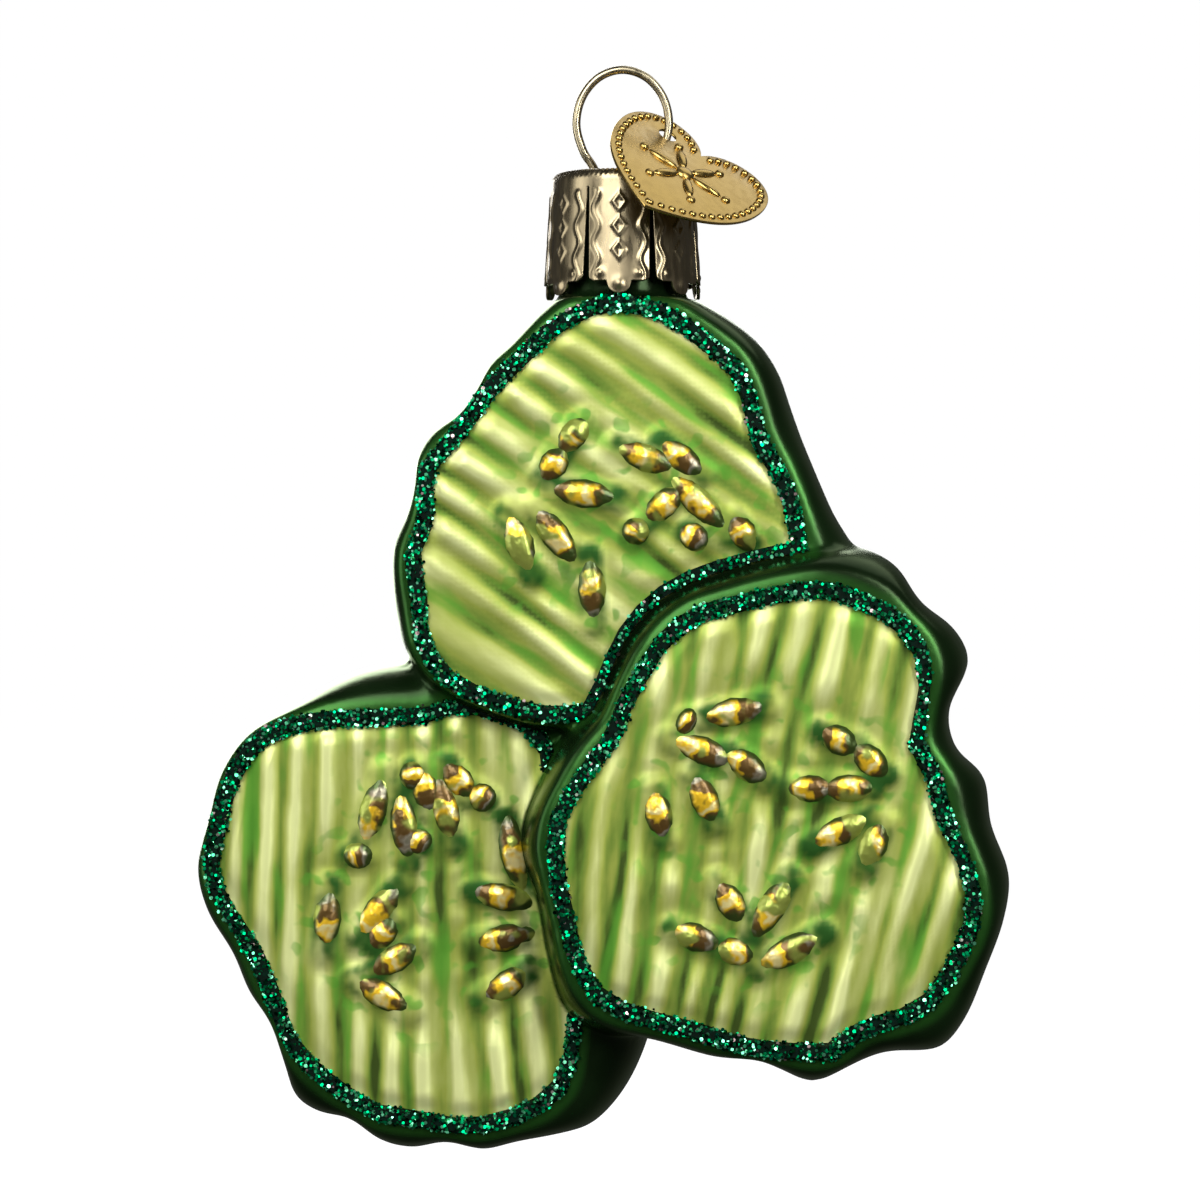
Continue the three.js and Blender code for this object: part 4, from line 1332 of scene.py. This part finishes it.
def wire_points(wire):
    """The wire's centre line: up one leg, round the loop and down the other."""
    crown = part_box("cap")[1].z
    radius = wire.diameter / 2
    right = []
    for angle in (0, 30, 60, 90):
        turn = math.radians(angle)
        height = (wire.widest_drop + radius) * math.cos(turn) - wire.widest_drop
        right.append((wire.half_width * math.sin(turn), 0, height))
    right.append((wire.flank_half_width, 0, -wire.flank_drop))
    right.append((wire.leg_half_width, 0, crown - CROWN_INSIDE))
    right.append(((wire.leg_half_width + wire.leg_end) / 2, 0, crown - wire.leg_length / 2))
    right.append((wire.leg_end, 0, crown - wire.leg_length))
    left = [(-x, y, z) for x, y, z in right[:0:-1]]
    return curve_points(left + right, steps=14, closed=False)


def tube(name, points, radius, roundness=4):
    """A closed round wire along points."""
    curve = bpy.data.curves.new(name, "CURVE")
    curve.dimensions = "3D"
    curve.bevel_depth = radius
    curve.bevel_resolution = roundness
    curve.use_fill_caps = True
    spline = curve.splines.new("POLY")
    spline.points.add(len(points) - 1)
    for place, point in zip(spline.points, points):
        place.co = (*point, 1)
    made = link_object(name, curve)
    mesh = evaluated_mesh(made)
    bpy.data.objects.remove(made)
    bm = bmesh.new()
    bm.from_mesh(mesh)
    bmesh.ops.remove_doubles(bm, verts=bm.verts[:], dist=0.001 * MM)
    bmesh.ops.recalc_face_normals(bm, faces=bm.faces[:])
    bm.to_mesh(mesh)
    bm.free()
    return link_object(name, mesh)


class ORNAMENT_OT_wire(bpy.types.Operator):
    """Bend the hanging loop"""

    bl_idname = "ornament.wire"
    bl_label = "Wire loop"

    def execute(self, context):
        wire = context.scene.ornament_wire
        made = tube("hanging_loop", wire_points(wire), wire.diameter / 2)
        material = metal_material(
            "loop_wire", wire.colour, wire.grime_colour, roughness=0.28, wear=0.25, unevenness=0.02
        )
        finish_piece(made, "hanger", material)
        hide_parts("wire_loop")
        return {"FINISHED"}


class TagSettings(bpy.types.PropertyGroup):
    """Sizes, lie and colour of the heart tag."""

    width: bpy.props.FloatProperty(
        name="Width", description="Across both lobes", default=15.0 * MM, unit="LENGTH"
    )
    depth: bpy.props.FloatProperty(
        name="Depth", description="From the notch to the tip", default=14.2 * MM, unit="LENGTH"
    )
    lobe_rise: bpy.props.FloatProperty(
        name="Lobe rise", description="Handle height of the lobes above the notch", default=2.7 * MM,
        unit="LENGTH",
    )
    widest_drop: bpy.props.FloatProperty(
        name="Widest drop", description="The widest line below the notch", default=2.3 * MM, unit="LENGTH"
    )
    sheet: bpy.props.FloatProperty(
        name="Sheet", description="Thickness of the brass", default=0.3 * MM, unit="LENGTH"
    )
    hole: bpy.props.FloatVectorProperty(
        name="Hole", description="The hole's place from the notch", default=(-3.5 * MM, -0.2 * MM, 0),
        unit="LENGTH",
    )
    hole_radius: bpy.props.FloatProperty(
        name="Hole radius", description="Of the hole for the wire", default=0.85 * MM, unit="LENGTH"
    )
    bead_radius: bpy.props.FloatProperty(
        name="Bead radius", description="Of the border's beads", default=0.36 * MM, unit="LENGTH"
    )
    bead_pitch: bpy.props.FloatProperty(
        name="Bead pitch", description="Bead to bead along the edge", default=1.12 * MM, unit="LENGTH"
    )
    bead_inset: bpy.props.FloatProperty(
        name="Bead inset", description="From the edge to the beads", default=0.75 * MM, unit="LENGTH"
    )
    roll: bpy.props.FloatProperty(
        name="Roll", description="The heart's lean in its own plane", default=math.radians(-55),
        subtype="ANGLE",
    )
    slope: bpy.props.FloatProperty(
        name="Slope", description="Its lower edge comes forward", default=math.radians(43), subtype="ANGLE"
    )
    yaw: bpy.props.FloatProperty(
        name="Yaw", description="Its left side comes forward", default=math.radians(40), subtype="ANGLE"
    )
    colour: bpy.props.FloatVectorProperty(
        name="Brass", description="Colour of the tag", default=(0.48, 0.33, 0.10), subtype="COLOR"
    )
    grime_colour: bpy.props.FloatVectorProperty(
        name="Brass grime", description="Darker brass", default=(0.34, 0.22, 0.07), subtype="COLOR"
    )


def bezier(a, b, c, d, steps):
    """Points of a cubic curve, without its last one."""
    a, b, c, d = (Vector(point) for point in (a, b, c, d))
    found = []
    for step in range(steps):
        t = step / steps
        found.append(a * (1 - t) ** 3 + 3 * b * t * (1 - t) ** 2 + 3 * c * t * t * (1 - t) + d * t**3)
    return found


def heart_points(tag, steps=26):
    """The heart's outline, clockwise from its notch."""
    half = tag.width / 2
    side = (half, -tag.widest_drop)
    notch_handle = (half * 0.18, tag.lobe_rise * 1.4)
    lobe_handle = (half, tag.lobe_rise * 1.5)
    side_handle = (half, -tag.depth * 0.58)
    tip_handle = (half * 0.56, -tag.depth * 0.82)
    right = bezier((0, 0), notch_handle, lobe_handle, side, steps)
    right += bezier(side, side_handle, tip_handle, (0, -tag.depth), steps)
    mirrored = [Vector((-point.x, point.y)) for point in right[:0:-1]]
    return right + [Vector((0, -tag.depth))] + mirrored


def spaced(points, pitch):
    """Places and directions at an even spacing round a closed outline."""
    ends = points[1:] + points[:1]
    lengths = [(b - a).length for a, b in zip(points, ends)]
    total = sum(lengths)
    count = round(total / pitch)
    found = []
    for i in range(count):
        left = (i + 0.5) / count * total
        for a, b, length in zip(points, ends, lengths):
            if left <= length:
                found.append((a.lerp(b, left / length), (b - a).normalized()))
                break
            left -= length
    return found


# The stamping on the tag, in millimetres: the star's middle from the notch, and the half sizes (long, wide,
# high) of its hub, its arms and the drops past them, with how far from the middle the last two lie
STAR_MIDDLE = (0.2, -4.8)
STAR_ARMS = 6
HUB_SIZE = (0.9, 0.9, 0.4)
ARM_SIZE = (1.5, 0.5, 0.36)
ARM_REACH = 2.3
DROP_SIZE = (0.45, 0.45, 0.34)
DROP_REACH = 4.3
BEAD_HEIGHT = 0.3
RIM_ROUNDING = 0.07 * MM
RIM_ANGLE = math.radians(60)  # the sheet's edges that turn by more than this are its rims
SHARP_ANGLE = math.radians(40)  # edges that turn by more than this aren't smoothed over


def tag_sheet(tag, outline):
    """The heart's sheet with its hole and rounded rims, lying flat with its notch at the origin."""
    bm = bmesh.new()
    edges = []
    hole = [
        Vector((tag.hole[0], tag.hole[1])) + tag.hole_radius * Vector((math.cos(turn), math.sin(turn)))
        for turn in np.linspace(0, 2 * math.pi, 32, endpoint=False)
    ]
    for loop in (outline, hole):
        verts = [bm.verts.new((*point, -tag.sheet / 2)) for point in loop]
        edges += [bm.edges.new((a, b)) for a, b in zip(verts, verts[1:] + verts[:1])]
    bmesh.ops.triangle_fill(bm, use_beauty=True, use_dissolve=False, edges=edges)
    made = bmesh.ops.extrude_face_region(bm, geom=bm.faces[:])["geom"]
    raised = [item for item in made if isinstance(item, bmesh.types.BMVert)]
    bmesh.ops.translate(bm, verts=raised, vec=(0, 0, tag.sheet))
    bmesh.ops.recalc_face_normals(bm, faces=bm.faces[:])
    rims = [
        edge for edge in bm.edges if len(edge.link_faces) == 2 and edge.calc_face_angle(0) > RIM_ANGLE
    ]
    bmesh.ops.bevel(
        bm,
        geom=rims,
        offset=RIM_ROUNDING,
        segments=2,
        affect="EDGES",
        profile=0.5,
        material=-1,
        offset_type="OFFSET",
    )
    return bm


def add_blob(bm, place, size, height, turn=0.0):
    """Adds an egg-shaped bump on the sheet's upper face."""
    verts = bmesh.ops.create_uvsphere(bm, u_segments=12, v_segments=8, radius=1)["verts"]
    bmesh.ops.scale(bm, verts=verts, vec=size)
    bmesh.ops.rotate(bm, verts=verts, matrix=Matrix.Rotation(turn, 3, "Z"))
    bmesh.ops.translate(bm, verts=verts, vec=(*place, height))


def tag_mesh(tag):
    """The heart with its border of beads and a plain star, hung on the wire by its hole."""
    outline = heart_points(tag)
    bm = tag_sheet(tag, outline)
    top = tag.sheet / 2
    for point, direction in spaced(outline, tag.bead_pitch):
        inwards = Vector((direction.y, -direction.x))
        bead = (tag.bead_radius, tag.bead_radius, BEAD_HEIGHT * MM)
        add_blob(bm, point + inwards * tag.bead_inset, bead, top)
    hub, arm, drop = ([length * MM for length in size] for size in (HUB_SIZE, ARM_SIZE, DROP_SIZE))
    middle = Vector([length * MM for length in STAR_MIDDLE])
    add_blob(bm, middle, hub, top)
    for number in range(STAR_ARMS):
        turn = number * 2 * math.pi / STAR_ARMS
        along = Vector((math.cos(turn), math.sin(turn)))
        add_blob(bm, middle + along * ARM_REACH * MM, arm, top, turn)
        add_blob(bm, middle + along * DROP_REACH * MM, drop, top)
    pivot = next(joint for joint in frame["joints"] if joint["name"] == "tag_lift")["pos_m"]
    lie = (
        Matrix.Translation(pivot)
        @ Matrix.Rotation(tag.yaw, 4, "Z")
        @ Matrix.Rotation(tag.slope, 4, "X")
        @ Matrix.Rotation(tag.roll, 4, "Z")
        @ Matrix.Translation((-tag.hole[0], -tag.hole[1], 0))
    )
    bm.transform(lie)
    return mesh_of(bm, "tag_stamping")


class ORNAMENT_OT_tag(bpy.types.Operator):
    """Stamp the heart tag with its border of beads"""

    bl_idname = "ornament.tag"
    bl_label = "Heart tag"

    def execute(self, context):
        tag = context.scene.ornament_tag
        made = link_object("tag_stamping", tag_mesh(tag))
        material = metal_material(
            "tag_brass", tag.colour, tag.grime_colour, roughness=0.26, wear=0.1, unevenness=0.02
        )
        finish_piece(made, "tag", material)
        made.data.set_sharp_from_angle(angle=SHARP_ANGLE)
        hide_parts("heart_tag")
        return {"FINISHED"}


class StageSettings(bpy.types.PropertyGroup):
    """The camera, the floor and the light."""

    view_distance: bpy.props.FloatProperty(
        name="View distance", description="From the camera to the ornament", default=0.350, unit="LENGTH"
    )
    view_width: bpy.props.FloatProperty(
        name="View width", description="Width of the picture at the ornament", default=0.1062, unit="LENGTH"
    )
    view_across: bpy.props.FloatProperty(
        name="View across", description="Where the picture's middle is", default=-0.0020, unit="LENGTH"
    )
    view_up: bpy.props.FloatProperty(
        name="View up", description="Where the picture's middle is", default=-0.04655, unit="LENGTH"
    )
    floor_drop: bpy.props.FloatProperty(
        name="Floor drop", description="Floor below the ornament", default=0.06, unit="LENGTH"
    )
    sweep_radius: bpy.props.FloatProperty(
        name="Sweep radius", description="Of the white sweep round the floor", default=3.0, unit="LENGTH"
    )
    white: bpy.props.FloatVectorProperty(
        name="White", description="Colour of the floor and the sweep", default=(1.0, 1.0, 1.0),
        subtype="COLOR",
    )
    fill: bpy.props.FloatProperty(
        name="Fill", description="Strength of the even light from all round", default=0.08
    )


SENSOR_WIDTH = 36.0  # of the camera, in millimetres
# The lights' places, widths, heights and powers, in metres and watts; each points at the ornament's middle
LIGHTS = {
    "key": ((-0.20, -0.58, 0.30), 0.40, 0.40, 3.8),
    "left_fill": ((-0.50, -0.18, 0.02), 0.25, 0.45, 1.0),
    "right_strip": ((0.27, -0.36, 0.14), 0.08, 0.35, 1.7),
    "back_key": ((-0.10, 0.60, 0.10), 0.40, 0.40, 2.4),
    "top": ((0.25, 0.25, 0.50), 0.50, 0.50, 0.9),
}


def add_floor(stage, level):
    """A flat floor that turns up into a dome round the ornament, and glows white without lighting it."""
    bm = bmesh.new()
    bmesh.ops.create_uvsphere(bm, u_segments=96, v_segments=64, radius=stage.sweep_radius)
    for vert in bm.verts:
        vert.co.z = max(vert.co.z, level)
    bmesh.ops.reverse_faces(bm, faces=bm.faces[:])
    floor = link_object("floor", mesh_of(bm, "floor"))
    material, _, shader = blank_material("floor", Roughness=0.9, Emission_Strength=1.0)
    shader.inputs["Base Color"].default_value = (0, 0, 0, 1)
    shader.inputs["Emission Color"].default_value = (*stage.white, 1)
    floor.data.materials.append(material)
    floor.data.shade_smooth()
    for ray in ("diffuse", "glossy", "transmission", "shadow"):
        setattr(floor, f"visible_{ray}", False)
    floor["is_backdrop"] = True


def add_camera(stage):
    """A camera straight in front, whose picture is view_width wide at the ornament."""
    camera = link_object("camera", bpy.data.cameras.new("camera"))
    camera.data.sensor_width = SENSOR_WIDTH
    camera.data.lens = SENSOR_WIDTH * stage.view_distance / stage.view_width
    camera.data.clip_start = 0.01
    camera.location = (stage.view_across, -stage.view_distance, stage.view_up)
    camera.rotation_euler = Euler((math.pi / 2, 0, 0))
    bpy.context.scene.camera = camera


def add_even_light(stage):
    """Weak white light from all round."""
    world = bpy.data.worlds.new("studio")
    world.use_nodes = True
    background = world.node_tree.nodes["Background"]
    background.inputs["Color"].default_value = (1, 1, 1, 1)
    background.inputs["Strength"].default_value = stage.fill
    bpy.context.scene.world = world


def add_area_light(name, place, target, width, height, power):
    """A soft light that points at target and doesn't show itself."""
    data = bpy.data.lights.new(name, "AREA")
    data.shape = "RECTANGLE"
    data.size = width
    data.size_y = height
    data.energy = power
    made = link_object(name, data)
    made.visible_camera = False
    made.location = place
    made.rotation_euler = (Vector(target) - Vector(place)).to_track_quat("-Z", "Y").to_euler()


class ORNAMENT_OT_stage(bpy.types.Operator):
    """Add the camera, the pale floor and the soft studio light"""

    bl_idname = "ornament.stage"
    bl_label = "Stage"

    def execute(self, context):
        stage = context.scene.ornament_stage
        low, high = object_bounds()
        add_floor(stage, low.z - stage.floor_drop)
        add_camera(stage)
        add_even_light(stage)
        context.scene.view_settings.view_transform = "Standard"
        middle = (low + high) / 2
        for name, (place, width, height, power) in LIGHTS.items():
            add_area_light(name, place, middle, width, height, power)
        return {"FINISHED"}


class ORNAMENT_PT_panel(bpy.types.Panel):
    """Lists the ornament's pieces in the sidebar"""

    bl_idname = "ORNAMENT_PT_panel"
    bl_label = "Ornament"
    bl_space_type = "VIEW_3D"
    bl_region_type = "UI"
    bl_category = "Ornament"

    def draw(self, context):
        for operator in OPERATORS:
            self.layout.operator(operator.bl_idname)


OPERATORS = (
    ORNAMENT_OT_stage,
    ORNAMENT_OT_glass,
    ORNAMENT_OT_glitter,
    ORNAMENT_OT_cap,
    ORNAMENT_OT_wire,
    ORNAMENT_OT_tag,
)
SETTINGS = {
    "ornament_glass": GlassSettings,
    "ornament_glitter": GlitterSettings,
    "ornament_cap": CapSettings,
    "ornament_wire": WireSettings,
    "ornament_tag": TagSettings,
    "ornament_stage": StageSettings,
}


def register():
    for group in SETTINGS.values():
        bpy.utils.register_class(group)
    for name, group in SETTINGS.items():
        setattr(bpy.types.Scene, name, bpy.props.PointerProperty(type=group))
    for operator in OPERATORS:
        bpy.utils.register_class(operator)
    bpy.utils.register_class(ORNAMENT_PT_panel)


def unregister():
    bpy.utils.unregister_class(ORNAMENT_PT_panel)
    for operator in reversed(OPERATORS):
        bpy.utils.unregister_class(operator)
    for name in SETTINGS:
        delattr(bpy.types.Scene, name)
    for group in reversed(SETTINGS.values()):
        bpy.utils.unregister_class(group)


def main():
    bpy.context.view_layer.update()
    register()
    bpy.ops.ornament.stage()
    bpy.ops.ornament.glass()
    bpy.ops.ornament.glitter()
    bpy.ops.ornament.cap()
    bpy.ops.ornament.wire()
    bpy.ops.ornament.tag()


if __name__ == "__main__":
    main()
